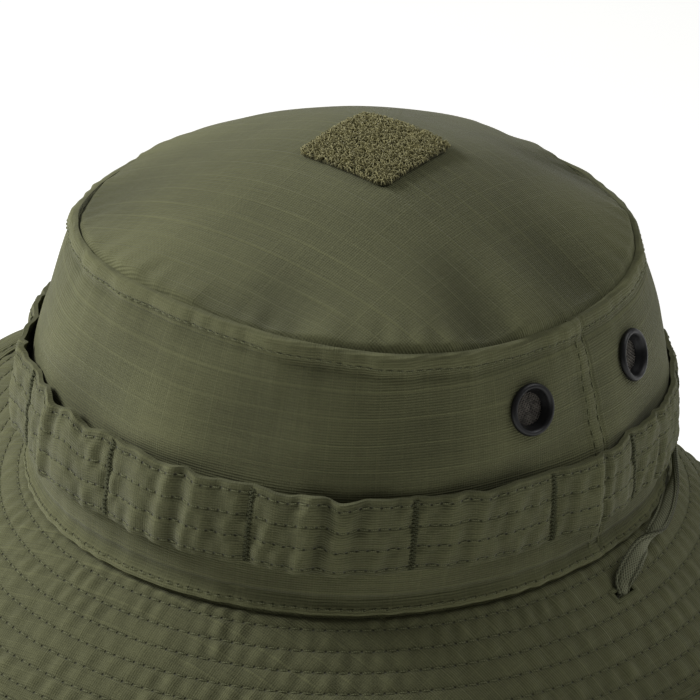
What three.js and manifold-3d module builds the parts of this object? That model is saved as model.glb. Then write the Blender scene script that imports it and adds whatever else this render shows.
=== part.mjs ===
// Boonie hat: soft ripstop crown and stitched brim, branch-loop band, screened vent
// eyelets, loop patch, sweatband and a chin strap with a spring cord lock.
// Millimetres, +Z up, front of the hat towards -Y, wearer's left towards +X.
// The origin is the centre of the head opening, at the seam of crown and brim.
import * as THREE from 'three';
import { mergeVertices } from 'three/addons/utils/BufferGeometryUtils.js';
import Module from 'manifold-3d';

const wasm = await Module();
wasm.setup();

// ---------- driving dimensions ----------
const DEG = Math.PI / 180;
const GAP = 0.3; // clearance between touching pieces

// Head opening: an oval of about 585 mm round, a little higher at the front.
const BASE = { halfWidth: 91.3, halfLength: 95.0, corner: 0.004, wave1: 4.9, wave2: -0.6, height: 0, shiftY: 0 };
// Top seam of the crown: smaller, rounder at the corners, set a little to the rear.
const TOP = { halfWidth: 81.1, halfLength: 78.1, corner: 0.022, wave1: 5.3, wave2: 2.2, height: 76.7, shiftY: 4.5 };
const CROWN_BULGE = 5.0; // how far the side wall swells between its seams
const CLOTH = 1.2; // crown cloth with its seam allowances
const DOME = { rise: 27.0, power: 1.6, flat: 0.22, apexX: 2.5, apexY: 7.5 };
const SIDE_SEAM = 90; // headings of the two side seams, left and right
const SEAM_TRIM = 0.1; // degrees that each side panel stops short of the seam

const BRIM = { width: 57, slope: 38.6, slope1: -4.2, slope2: 0.8, upper: 0.8, interlining: 0.7, lower: 0.6 };
// The brim is flatter over the wearer's right side and droops more at the rear.
const BRIM_WAVES = [
  { heading: 262, spread: 28, lift: -22 },
  { heading: 175, spread: 35, lift: 7 },
];
const BINDING = { reach: 10, cloth: 0.5 };

const LOOP_BAND = { foot: 14.5, height: 22.5, cloth: 1.4, rest: 0.7 };
// Each branch loop: the heading of the tack it starts at, and how far it stands off.
const LOOPS = [
  [-8, 2.2], [21.5, 3.0], [50, 1.8], [77, 6.0], [99, 4.6], [127, 4.0], [155, 3.2],
  [181, 3.2], [207, 3.6], [233, 4.2], [259, 6.0], [281, 4.4], [302, 4.0], [323, 2.6],
];

const PATCH = { width: 29.4, length: 31.8, corner: 3.6, thick: 2.4 };
const SWEATBAND = { foot: -1.0, height: 29, thick: 1.0, clear: 0.6 };
const LABEL = { halfAngle: 9, foot: 5, height: 18, thick: 0.5 };

const VENT = { headings: [74, 106], level: 0.738, bore: 5.0, barrel: 5.6, flange: 8.0, hole: 5.9 };
const VENT_SIDES = 16;

const STRAP = { diameter: 3.0, sides: 8, spread: 1.75, plane: 1.8, pivot: -14 };
const SLIT = { reach: 12.5, heading: 91, length: 10, width: 4.4 };
const LOCK = { z: -172, radius: 7.5, front: -8, back: 13, bore: 5.3, plunger: 5.0, travel: 3.2 };
const KNOT = { z: -232, radius: 4.7, height: 10 };

const RING_STEPS = 48; // divisions of every full ring, so nested rings line up

// ---------- colours ----------
const CLOTH_COLOUR = 0x5d5d45;
const cloth = (colour = CLOTH_COLOUR) => new THREE.MeshStandardMaterial({ color: colour, roughness: 0.92 });
const blackPaint = () => new THREE.MeshStandardMaterial({ color: 0x1b1c1e, roughness: 0.4, metalness: 0.6 });
const acetal = () => new THREE.MeshStandardMaterial({ color: 0x33352a, roughness: 0.45 });
const braid = () => new THREE.MeshStandardMaterial({ color: 0x5f6350, roughness: 0.85 });

// ---------- outlines of the hat ----------
// A point of an oval seam at a heading, in degrees: 0 is the front, 90 the wearer's left.
function seamPoint(seam, heading) {
  const a = heading * DEG;
  const swell = 1 - seam.corner * Math.cos(4 * a);
  const z = seam.height + seam.wave1 * Math.cos(a) + seam.wave2 * Math.cos(2 * a);
  const y = seam.shiftY - seam.halfLength * swell * Math.cos(a);
  return new THREE.Vector3(seam.halfWidth * swell * Math.sin(a), y, z);
}

// The level outward direction at a heading, square to the head opening.
function outward(heading) {
  const a = heading * DEG;
  return new THREE.Vector3(BASE.halfLength * Math.sin(a), -BASE.halfWidth * Math.cos(a), 0).normalize();
}

// A point of the crown's side: level 0 at the brim seam, 1 at the top seam.
function crownPoint(heading, level, offset) {
  const swell = CROWN_BULGE * Math.sin(Math.PI * Math.min(Math.max(level, 0), 1));
  const point = seamPoint(BASE, heading).lerp(seamPoint(TOP, heading), level);
  return point.addScaledVector(outward(heading), swell + offset);
}

// The level of the crown's side that lies a given height above the brim seam.
function levelAt(heading, height) {
  return height / (seamPoint(TOP, heading).z - seamPoint(BASE, heading).z);
}

// A point of the domed top: reach 0 at the apex, 1 at the top seam. The middle is flat.
function domePoint(heading, reach, drop) {
  const rim = seamPoint(TOP, heading);
  const flat = Math.pow(Math.pow(reach, 4) + Math.pow(DOME.flat, 4), DOME.power / 4);
  const z = TOP.height + (rim.z - TOP.height) * Math.pow(reach, 3) + DOME.rise * Math.max(1 - flat, 0);
  const x = DOME.apexX + (rim.x - DOME.apexX) * reach;
  const y = DOME.apexY + (rim.y - DOME.apexY) * reach;
  return new THREE.Vector3(x, y, z - drop);
}

function brimSlope(heading) {
  const a = heading * DEG;
  let slope = BRIM.slope + BRIM.slope1 * Math.cos(a) + BRIM.slope2 * Math.cos(2 * a);
  for (const wave of BRIM_WAVES) {
    const away = ((heading - wave.heading + 540) % 360) - 180;
    slope += wave.lift * Math.exp(-Math.pow(away / wave.spread, 2));
  }
  return slope * DEG;
}

// A point of the brim, a distance out from the seam and a depth below its top face.
function brimPoint(heading, reach, depth) {
  const slope = brimSlope(heading);
  const out = reach * Math.cos(slope) - depth * Math.sin(slope);
  const point = seamPoint(BASE, heading).addScaledVector(outward(heading), out);
  point.z -= reach * Math.sin(slope) + depth * Math.cos(slope);
  return point;
}

// ---------- solids from grids ----------
// Welds a triangle soup, drops slivers and turns its faces outwards.
function weld(triangles) {
  const soup = new THREE.BufferGeometry();
  soup.setAttribute('position', new THREE.Float32BufferAttribute(triangles.flat(2), 3));
  const merged = mergeVertices(soup, 1e-4);
  const index = Array.from(merged.index.array);
  const at = (i) => new THREE.Vector3().fromBufferAttribute(merged.attributes.position, i);
  const kept = [];
  let volume = 0;
  for (let i = 0; i < index.length; i += 3) {
    const [a, b, c] = index.slice(i, i + 3);
    if (a === b || b === c || a === c) continue;
    volume += at(a).dot(at(b).cross(at(c)));
    kept.push([a, b, c]);
  }
  merged.setIndex(kept.flatMap(([a, b, c]) => (volume < 0 ? [a, c, b] : [a, b, c])));
  return merged;
}

const quad = (a, b, c, d) => [[a, b, c], [a, c, d]].map((t) => t.map((p) => p.toArray()));

// A closed band: rows of section points, each row joined to the next. Each section is a
// closed polygon, a face and then its back. A ring joins its last row to its first; a strip
// gets two end caps. Face and back split their quads on one diagonal, so plies nest.
function loft(rows, isRing) {
  const triangles = [];
  const count = rows[0].length;
  const spans = isRing ? rows.length : rows.length - 1;
  for (let i = 0; i < spans; i++) {
    const next = rows[(i + 1) % rows.length];
    for (let j = 0; j < count; j++) {
      const k = (j + 1) % count;
      const corners = [rows[i][j], next[j], next[k], rows[i][k]];
      if (j >= count / 2) corners.push(corners.shift());
      triangles.push(...quad(...corners));
    }
  }
  if (!isRing) {
    // A section is two faces of equal length, so its cap is a ladder between them.
    for (const [row, turned] of [[rows[0], false], [rows[rows.length - 1], true]]) {
      for (let j = 0; j < count / 2 - 1; j++) {
        const cap = [row[j], row[j + 1], row[count - 2 - j], row[count - 1 - j]];
        triangles.push(...quad(...(turned ? cap.reverse() : cap)));
      }
    }
  }
  return weld(triangles);
}

// A sheet of cloth between two faces: face(heading, t) and back(heading, t), for each t.
function sheet(headings, ts, face, back, isRing) {
  const rows = headings.map((h) => {
    const front = ts.map((t) => face(h, t));
    const rear = ts.map((t) => back(h, t)).reverse();
    return [...front, ...rear];
  });
  return loft(rows, isRing);
}

const spread = (from, to, steps) => Array.from({ length: steps + 1 }, (_, i) => from + ((to - from) * i) / steps);
const ringHeadings = spread(0, 360, RING_STEPS).slice(0, -1);

// ---------- boolean work ----------
function toManifold(geometry) {
  const bare = new THREE.BufferGeometry();
  bare.setAttribute('position', geometry.attributes.position.clone());
  if (geometry.index) bare.setIndex(geometry.index.clone());
  const merged = mergeVertices(bare, 1e-4);
  const vertProperties = new Float32Array(merged.attributes.position.array);
  const triVerts = new Uint32Array(merged.index.array);
  return new wasm.Manifold(new wasm.Mesh({ numProp: 3, vertProperties, triVerts }));
}

function fromManifold(solid) {
  const { numProp, vertProperties, triVerts } = solid.getMesh();
  const points = [];
  for (let i = 0; i < vertProperties.length; i += numProp) {
    points.push(vertProperties[i], vertProperties[i + 1], vertProperties[i + 2]);
  }
  const geometry = new THREE.BufferGeometry();
  geometry.setAttribute('position', new THREE.Float32BufferAttribute(points, 3));
  geometry.setIndex(Array.from(triVerts));
  return geometry;
}

const cut = (body, tools) =>
  fromManifold(tools.reduce((solid, tool) => solid.subtract(toManifold(tool)), toManifold(body)));

// ---------- assembly ----------
const hat = new THREE.Group();

function add(name, geometry, material, parent = hat) {
  const mesh = new THREE.Mesh(geometry, material);
  mesh.name = name;
  parent.add(mesh);
  return mesh;
}

// ---------- crown ----------
function ventFrame(heading) {
  const step = 0.5;
  const along = crownPoint(heading + step, VENT.level, 0).sub(crownPoint(heading - step, VENT.level, 0));
  const up = crownPoint(heading, VENT.level + 0.01, 0).sub(crownPoint(heading, VENT.level - 0.01, 0));
  const axis = along.cross(up).normalize();
  const turn = new THREE.Quaternion().setFromUnitVectors(new THREE.Vector3(0, 1, 0), axis);
  return new THREE.Matrix4().compose(crownPoint(heading, VENT.level, 0), turn, new THREE.Vector3(1, 1, 1));
}

const mirrored = (heading) => 360 - heading;
const vents = VENT.headings.flatMap((heading, i) => {
  const end = i === 0 ? 'front' : 'rear';
  return [[`${end}_left`, heading], [`${end}_right`, mirrored(heading)]];
});

function crownSide(from, to, holes) {
  const steps = RING_STEPS / 2;
  const headings = spread(from + SEAM_TRIM, to - SEAM_TRIM, steps);
  const top = (h) => 1 - levelAt(h, CLOTH + GAP);
  const bottom = (h) => levelAt(h, GAP);
  const face = (depth) => (h, t) => crownPoint(h, bottom(h) + (top(h) - bottom(h)) * t, -depth);
  const punches = holes.map(([, heading]) => {
    const punch = new THREE.CylinderGeometry(VENT.hole, VENT.hole, 10, VENT_SIDES);
    return punch.applyMatrix4(ventFrame(heading));
  });
  return cut(sheet(headings, spread(0, 1, 5), face(0), face(CLOTH), false), punches);
}

add('crown_side_front', crownSide(-SIDE_SEAM, SIDE_SEAM, vents.filter(([n]) => n.startsWith('front'))), cloth());
add('crown_side_rear', crownSide(SIDE_SEAM, 360 - SIDE_SEAM, vents.filter(([n]) => n.startsWith('rear'))), cloth());

const domeReach = [0, 0.16, 0.3, 0.46, 0.62, 0.8, 1];
const domeFace = (drop) => (h, reach) => domePoint(h, reach, drop);
add('crown_tip', sheet(ringHeadings, domeReach, domeFace(0), domeFace(CLOTH), true), cloth());

function loopPatch() {
  const [w, l, r] = [PATCH.width / 2, PATCH.length / 2, PATCH.corner];
  const outline = new THREE.Shape();
  outline.absarc(w - r, l - r, r, 0, 90 * DEG);
  outline.absarc(r - w, l - r, r, 90 * DEG, 180 * DEG);
  outline.absarc(r - w, r - l, r, 180 * DEG, 270 * DEG);
  outline.absarc(w - r, r - l, r, 270 * DEG, 360 * DEG);
  return new THREE.ExtrudeGeometry(outline, { depth: PATCH.thick, bevelEnabled: false, curveSegments: 4 });
}
const patch = add('loop_patch', loopPatch(), cloth(0x56543b));
patch.position.set(DOME.apexX, DOME.apexY, domePoint(0, 0, 0).z + GAP);

// ---------- inside of the crown ----------
function liner(headings, foot, height, depth, thick, isRing) {
  const face = (offset) => (h, t) => crownPoint(h, levelAt(h, foot + height * t), -offset);
  return sheet(headings, [0, 0.5, 1], face(depth), face(depth + thick), isRing);
}
const bandDepth = CLOTH + SWEATBAND.clear;
const sweatband = liner(ringHeadings, SWEATBAND.foot, SWEATBAND.height, bandDepth, SWEATBAND.thick, true);
add('sweatband', sweatband, cloth(0x4b4c39));
const labelHeadings = spread(180 - LABEL.halfAngle, 180 + LABEL.halfAngle, 6);
const labelDepth = bandDepth + SWEATBAND.thick + 0.6;
add('size_label', liner(labelHeadings, LABEL.foot, LABEL.height, labelDepth, LABEL.thick, false), cloth(0x2c2d24));

// ---------- brim ----------
const slitHeadings = [SLIT.heading, mirrored(SLIT.heading)];
const slitCentres = slitHeadings.map((h) => brimPoint(h, SLIT.reach, 0));
const slitTools = slitCentres.map((centre) => {
  const slot = new THREE.BoxGeometry(SLIT.width, SLIT.length, 30);
  return slot.translate(centre.x, STRAP.plane, centre.z);
});

const plyReaches = (inset) => [GAP + inset, 15, 31, BRIM.width - BINDING.reach, BRIM.width - inset];
function brimPly(inset, depth, thick) {
  const face = (d) => (h, reach) => brimPoint(h, reach, d);
  return cut(sheet(ringHeadings, plyReaches(inset), face(depth), face(depth + thick), true), slitTools);
}
const interliningDepth = BRIM.upper + GAP;
const lowerDepth = interliningDepth + BRIM.interlining + GAP;
const brimThick = lowerDepth + BRIM.lower;
add('brim_upper', brimPly(0, 0, BRIM.upper), cloth());
add('brim_interlining', brimPly(1, interliningDepth, BRIM.interlining), cloth(0x44453a));
add('brim_lower', brimPly(0, lowerDepth, BRIM.lower), cloth(0x55563f));

// The binding is a folded tape: a U section round the edge of the plies.
const bindingSection = (h) => {
  const [inner, edge] = [BRIM.width - BINDING.reach, BRIM.width + GAP];
  const [over, under] = [-GAP, brimThick + GAP];
  const [skin, outer] = [BINDING.cloth, edge + BINDING.cloth];
  return [
    brimPoint(h, inner, over), brimPoint(h, edge, over), brimPoint(h, edge, under), brimPoint(h, inner, under),
    brimPoint(h, inner, under + skin), brimPoint(h, outer, under + skin),
    brimPoint(h, outer, over - skin), brimPoint(h, inner, over - skin),
  ];
};
add('brim_edge_binding', loft(ringHeadings.map(bindingSection), true), cloth(0x58593f));

// ---------- branch loop band ----------
// One long strip, tacked to the crown at each loop's ends and bowed off it between.
const bandRows = LOOPS.flatMap(([from, bow], i) => {
  const next = i + 1 < LOOPS.length ? LOOPS[i + 1][0] : LOOPS[0][0] + 360;
  return [0, 0.12, 0.32, 0.5, 0.68, 0.88].map((t) => {
    const heading = from + (next - from) * t;
    const off = LOOP_BAND.rest + bow * Math.pow(Math.sin(Math.PI * t), 0.7);
    const foot = levelAt(heading, LOOP_BAND.foot);
    const head = levelAt(heading, LOOP_BAND.foot + LOOP_BAND.height);
    return [
      crownPoint(heading, foot, off), crownPoint(heading, head, off),
      crownPoint(heading, head, off + LOOP_BAND.cloth), crownPoint(heading, foot, off + LOOP_BAND.cloth),
    ];
  });
});
add('branch_loop_band', loft(bandRows, true), cloth(0x52533b));

// ---------- vents ----------
const lathe = (profile, sides) => new THREE.LatheGeometry(profile.map(([r, y]) => new THREE.Vector2(r, y)), sides);
const eyeletProfile = [
  [VENT.bore, -3.7], [6.6, -3.7], [6.6, -3.2], [VENT.barrel, -3.2], [VENT.barrel, GAP],
  [VENT.flange - 0.5, GAP], [VENT.flange, 0.8], [VENT.flange - 0.6, 1.5], [VENT.bore + 0.8, 1.5],
  [VENT.bore, 0.6], [VENT.bore, -3.7],
];
const washerProfile = [[VENT.hole, -2.9], [7.8, -2.9], [7.8, -1.9], [VENT.hole, -1.9], [VENT.hole, -2.9]];
const screenProfile = [[0, -1.7], [VENT.bore - GAP, -1.7], [VENT.bore - GAP, -1.2], [0, -1.2]];
for (const [name, heading] of vents) {
  const frame = new THREE.Group();
  frame.applyMatrix4(ventFrame(heading));
  hat.add(frame);
  add(`vent_eyelet_${name}`, lathe(eyeletProfile, VENT_SIDES), blackPaint(), frame);
  add(`vent_washer_${name}`, lathe(washerProfile, VENT_SIDES), blackPaint(), frame);
  add(`vent_screen_${name}`, lathe(screenProfile, VENT_SIDES), cloth(0x48473f), frame);
}

// ---------- chin strap ----------
function strapTube(points, steps, parts = []) {
  const path = new THREE.CatmullRomCurve3(points.map((p) => new THREE.Vector3(...p)));
  const section = new THREE.Shape();
  section.absarc(0, 0, STRAP.diameter / 2, 0, 2 * Math.PI);
  const tube = new THREE.ExtrudeGeometry(section, {
    extrudePath: path, steps, bevelEnabled: false, curveSegments: STRAP.sides / 2 });
  return fromManifold(parts.reduce((solid, part) => solid.add(toManifold(part)), toManifold(tube)));
}

// The rear run: up out of one slit, round the back of the crown and down the other.
const rearRun = [
  [100.8, 1.8, -12.2], [100.8, 1.8, -8], [100.6, 2.4, -4], [99.8, 7, -1.2], [97.2, 15, 0], [95.4, 22.5, 0.2],
  [91.8, 32.5, 0.2], [86.6, 42.4, 0.2], [76.6, 58.6, 0], [62.6, 74.6, -0.4], [46.5, 87.6, -1.0],
  [25, 97.2, -1.6], [0, 100.2, -1.8], [-25, 97.2, -1.6], [-46.5, 87.6, -1.0], [-62.6, 74.6, -0.4],
  [-76.6, 58.6, 0.6], [-86.8, 42.4, 1.6], [-92.4, 32.5, 2.4], [-96.8, 22.5, 3.0], [-99.6, 15, 3.2],
  [-102.2, 7, 2.6], [-103.2, 2.4, 0], [-103.2, 1.8, -4], [-103.2, 1.8, -12.2],
];
add('chin_strap_rear', strapTube(rearRun, 46), braid());

// Each drop hangs from its slit in a V to the cord lock, runs through it and on to the knot.
const dropLevels = [-14, -19, -25, -34, -46, -61, -77, -93.5, -109, -123, -135.5, -146, -155, -163,
  -172, -185, -198, -212, -224, KNOT.z];
const dropShares = [1, 0.997, 0.978, 0.922, 0.832, 0.717, 0.592, 0.462, 0.337, 0.222, 0.128, 0.06, 0.022, 0.004,
  0, 0, 0, 0, 0, 0];
const drop = (side, top) => dropLevels.map((z, i) => [
  side * (STRAP.spread + (Math.abs(top) - STRAP.spread) * dropShares[i]), STRAP.plane, z]);
const pivotBall = (x) => {
  const ball = new THREE.SphereGeometry(STRAP.diameter / 2, STRAP.sides, 6);
  return ball.translate(x, STRAP.plane, STRAP.pivot);
};
const [slitLeft, slitRight] = slitCentres.map((centre) => centre.x);
add('chin_strap_left', strapTube(drop(1, slitLeft), 32, [pivotBall(slitLeft)]), braid());
add('chin_strap_right', strapTube(drop(-1, slitRight), 32, [pivotBall(slitRight)]), braid());

const knotProfile = [
  [0, -KNOT.height - GAP], [3, -KNOT.height + 0.5], [KNOT.radius, -KNOT.height * 0.62],
  [KNOT.radius, -KNOT.height * 0.36], [3.4, -1.1], [0, -GAP],
];
const knot = lathe(knotProfile, 12).rotateX(90 * DEG);
add('strap_end_knot', knot, braid()).position.set(0, STRAP.plane, KNOT.z);

// ---------- cord lock ----------
// The barrel lies front to back; the strap's two tails pass down through it and its plunger.
const lock = new THREE.Group();
lock.position.set(0, STRAP.plane, LOCK.z);
hat.add(lock);
const rod = (radius, from, to, sides) =>
  new THREE.CylinderGeometry(radius, radius, to - from, sides).translate(0, (from + to) / 2, 0);
const passage = (width, from, to) =>
  new THREE.BoxGeometry(width, to - from, 4 * LOCK.radius).translate(0, (from + to) / 2, 0);
const barrel = cut(rod(LOCK.radius, LOCK.front, LOCK.back, 20), [
  rod(LOCK.bore, LOCK.front - 1, LOCK.back - 2, 20), passage(8.0, -2.2, 2.2)]);
add('cord_lock_body', barrel, acetal(), lock);

const plungerNose = LOCK.front - GAP - LOCK.travel;
const stem = lathe([
  [0, plungerNose - 3], [5.4, plungerNose - 3], [6.2, plungerNose - 2.2], [6.2, plungerNose],
  [LOCK.plunger, plungerNose], [LOCK.plunger, 4.6], [0, 4.6],
], 20);
add('cord_lock_plunger', cut(stem, [passage(7.6, -2.1 - LOCK.travel, 2.1)]), acetal(), lock);

const SPRING = { from: 5.2, to: 10.4, radius: 3.6, wire: 0.35, turns: 4 };
class Helix extends THREE.Curve {
  getPoint(t) {
    const a = 2 * Math.PI * SPRING.turns * t;
    const y = SPRING.from + (SPRING.to - SPRING.from) * t;
    return new THREE.Vector3(SPRING.radius * Math.cos(a), y, SPRING.radius * Math.sin(a));
  }
}
const wire = new THREE.Shape();
wire.absarc(0, 0, SPRING.wire, 0, 2 * Math.PI);
const coil = new THREE.ExtrudeGeometry(wire, {
  extrudePath: new Helix(), steps: 12 * SPRING.turns, bevelEnabled: false, curveSegments: 3 });
add('cord_lock_spring', coil, new THREE.MeshStandardMaterial({ color: 0x9a9a98, metalness: 1, roughness: 0.3 }), lock);

export default hat;
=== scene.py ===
import logging
import math
from collections.abc import Callable
from dataclasses import dataclass
from enum import Enum

import bmesh
import bpy
import numpy as np
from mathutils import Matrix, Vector


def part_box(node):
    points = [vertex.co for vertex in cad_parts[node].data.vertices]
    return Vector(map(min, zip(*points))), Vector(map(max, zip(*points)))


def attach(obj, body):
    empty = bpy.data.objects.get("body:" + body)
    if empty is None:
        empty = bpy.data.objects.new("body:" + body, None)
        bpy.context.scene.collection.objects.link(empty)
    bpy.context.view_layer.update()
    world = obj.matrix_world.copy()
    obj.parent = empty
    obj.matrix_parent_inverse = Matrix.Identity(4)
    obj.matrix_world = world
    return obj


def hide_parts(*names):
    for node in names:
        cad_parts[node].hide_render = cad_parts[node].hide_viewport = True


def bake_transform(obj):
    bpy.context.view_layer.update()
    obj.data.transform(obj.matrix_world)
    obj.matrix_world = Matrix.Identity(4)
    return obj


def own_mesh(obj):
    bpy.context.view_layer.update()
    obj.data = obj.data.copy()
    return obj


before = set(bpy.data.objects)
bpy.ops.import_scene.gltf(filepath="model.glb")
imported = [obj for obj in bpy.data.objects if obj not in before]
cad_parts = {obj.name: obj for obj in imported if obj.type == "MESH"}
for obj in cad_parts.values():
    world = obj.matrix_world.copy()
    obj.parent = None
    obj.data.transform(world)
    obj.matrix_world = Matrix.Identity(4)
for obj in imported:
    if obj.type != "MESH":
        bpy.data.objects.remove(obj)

Array = np.ndarray
Object = bpy.types.Object
Material = bpy.types.Material
Socket = bpy.types.NodeSocket
Surface = Callable[[Array, Array, Array], Array]

MM = 0.001
SEAM_RADIUS = 93.0  # about the mean radius of the head opening, in millimetres
LOG = logging.getLogger("boonie_hat")
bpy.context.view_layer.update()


class Side(Enum):
    """The wearer's sides, with the sign of X."""

    LEFT = 1
    RIGHT = -1


class Hold(Enum):
    STRETCHED = "stretched"
    GATHERED = "gathered"
    FOLDED = "folded"
    LAID = "laid"


class Body(Enum):
    """The frame's moving bodies."""

    HAT = "hat"
    CHIN_LOOP = "chin_loop"
    CORD_LOCK = "cord_lock"
    PLUNGER = "lock_plunger"


# ---------- curves and noise ----------
def circle(count: int) -> Array:
    """A full turn's angles in equal steps, in radians, starting at 0."""
    return np.linspace(0, 2 * math.pi, count, endpoint=False)


def smooth(x: Array, low: float, high: float) -> Array:
    """A soft step: 0 below low, 1 above high, 3t^2 - 2t^3 between.

    Args:
        x: Values to step.
        low: Where the step starts.
        high: Where it ends.

    Returns:
        The step at each value.
    """
    t = np.clip((x - low) / (high - low), 0, 1)
    return t * t * (3 - 2 * t)


def bell(x: Array, width: float) -> Array:
    """A bell curve, exp(-(x / width)^2)."""
    return np.exp(-((x / width) ** 2))


def plateau(x: Array, low: float, high: float, soft: float) -> Array:
    """A flat ridge from low to high, with soft flanks.

    Args:
        x: Positions across the ridge.
        low: Where the ridge starts.
        high: Where it ends.
        soft: Width of each flank.

    Returns:
        0 outside, 1 on top.
    """
    return smooth(x, low, low + soft) * (1 - smooth(x, high - soft, high))


def ring_folds(heading: Array, across: Array, seed: int, cycles: tuple[int, int], wave: float) -> Array:
    """Soft folds round the hat: a sum of eight sine waves that close on themselves.

    Each wave is sin(n * heading + k * across + phase), with n a whole number of cycles.

    Args:
        heading: Headings in degrees.
        across: Millimetres across the cloth.
        seed: Seed of the waves.
        cycles: Fewest and most cycles in a full turn.
        wave: Typical wavelength across, in millimetres.

    Returns:
        Heights of about -1 to 1.
    """
    draw = np.random.default_rng(seed)
    turns = draw.integers(cycles[0], cycles[1] + 1, 8)
    lean = draw.uniform(-1, 1, 8) * 2 * math.pi / wave
    phase = draw.uniform(0, 2 * math.pi, 8)
    angle = np.radians(heading)[..., None] * turns + np.asarray(across)[..., None] * lean + phase
    return np.sin(angle).sum(-1) / 4


def through(stops: list[float], step: float) -> Array:
    """Levels from the first stop to the last that meet every stop, about a step apart.

    Args:
        stops: Rising levels.
        step: Wanted spacing.

    Returns:
        The levels.
    """
    runs = [np.linspace(a, b, max(2, round((b - a) / step) + 1))[:-1] for a, b in zip(stops, stops[1:])]
    return np.concatenate([*runs, [stops[-1]]])


def unit(vectors: Array) -> Array:
    """The vectors at length one."""
    return vectors / np.maximum(np.linalg.norm(vectors, axis=-1, keepdims=True), 1e-9)


def spline(points: Array, count: int) -> Array:
    """A Catmull-Rom curve through given points, resampled at equal steps of length.

    On each span it is the cubic with the neighbours' chord as its slope at both ends.

    Args:
        points: The curve's points, one per row.
        count: How many samples to return.

    Returns:
        The samples, one per row.
    """
    knots = np.concatenate([[0], np.cumsum(np.sqrt(np.linalg.norm(np.diff(points, axis=0), axis=1)))])
    slopes = np.gradient(points, knots, axis=0)
    fine = np.linspace(0, knots[-1], 12 * count)
    span = np.clip(np.searchsorted(knots, fine, side="right") - 1, 0, len(knots) - 2)
    width = (knots[span + 1] - knots[span])[:, None]
    t = (fine - knots[span])[:, None] / width
    curve = ((2 * t**3 - 3 * t**2 + 1) * points[span] + (t**3 - 2 * t**2 + t) * width * slopes[span]
             + (3 * t**2 - 2 * t**3) * points[span + 1] + (t**3 - t**2) * width * slopes[span + 1])
    run = np.concatenate([[0], np.cumsum(np.linalg.norm(np.diff(curve, axis=0), axis=1))])
    steps = np.linspace(0, run[-1], count)
    return np.stack([np.interp(steps, run, curve[:, k]) for k in range(curve.shape[1])], -1)


# ---------- meshes ----------
def grid_faces(rows: int, cols: int, ring_rows: bool = False, ring_cols: bool = False) -> Array:
    """The four-sided faces of a grid of points.

    Args:
        rows: Points along the first direction.
        cols: Points along the second.
        ring_rows: Whether the last row joins the first.
        ring_cols: Whether the last column joins the first.

    Returns:
        One row of four point numbers for each face.
    """
    i, j = np.meshgrid(np.arange(rows if ring_rows else rows - 1),
                       np.arange(cols if ring_cols else cols - 1), indexing="ij")
    i, j = i.ravel(), j.ravel()
    below, beside = (i + 1) % rows, (j + 1) % cols
    return np.stack([i * cols + j, below * cols + j, below * cols + beside, i * cols + beside], -1)


def put_mesh(name: str, points: Array, faces: Array, maps: dict[str, Array] | None = None,
             values: dict[str, Array] | None = None, weld: bool = False) -> Object:
    """Makes a piece of closed surfaces, with its faces turned outwards.

    The signed volume, the sum of a . (b x c) over the faces, says which way they point.

    Args:
        name: The piece's name.
        points: Points in millimetres.
        faces: Four point numbers for each face.
        maps: UV maps, each with one pair for every corner of every face.
        values: Point attributes, one number for each point.
        weld: Whether points at one place are merged, which closes poles.

    Returns:
        The piece, in the scene.
    """
    a, b, c, d = (points[faces[:, k]] for k in range(4))
    volume = np.einsum("ij,ij->", a, np.cross(b, c)) + np.einsum("ij,ij->", a, np.cross(c, d))
    turn = slice(None, None, -1 if volume < 0 else 1)
    used, packed = np.unique(faces[:, turn], return_inverse=True)
    mesh = bpy.data.meshes.new(name)
    mesh.from_pydata((points[used] * MM).tolist(), [], packed.reshape(-1, 4).tolist())
    for key, corners in (maps or {}).items():
        layer = mesh.uv_layers.new(name=key)
        layer.data.foreach_set("uv", corners[:, turn].astype(np.float32).ravel())
    for key, numbers in (values or {}).items():
        layer = mesh.attributes.new(key, "FLOAT", "POINT")
        layer.data.foreach_set("value", numbers[used].astype(np.float32))
    if weld:
        shell = bmesh.new()
        shell.from_mesh(mesh)
        bmesh.ops.remove_doubles(shell, verts=shell.verts, dist=1e-6)
        shell.to_mesh(mesh)
        shell.free()
    mesh.shade_smooth()
    mesh.set_sharp_from_angle(angle=math.radians(52))
    piece = bpy.data.objects.new(name, mesh)
    bpy.context.collection.objects.link(piece)
    return piece


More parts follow.
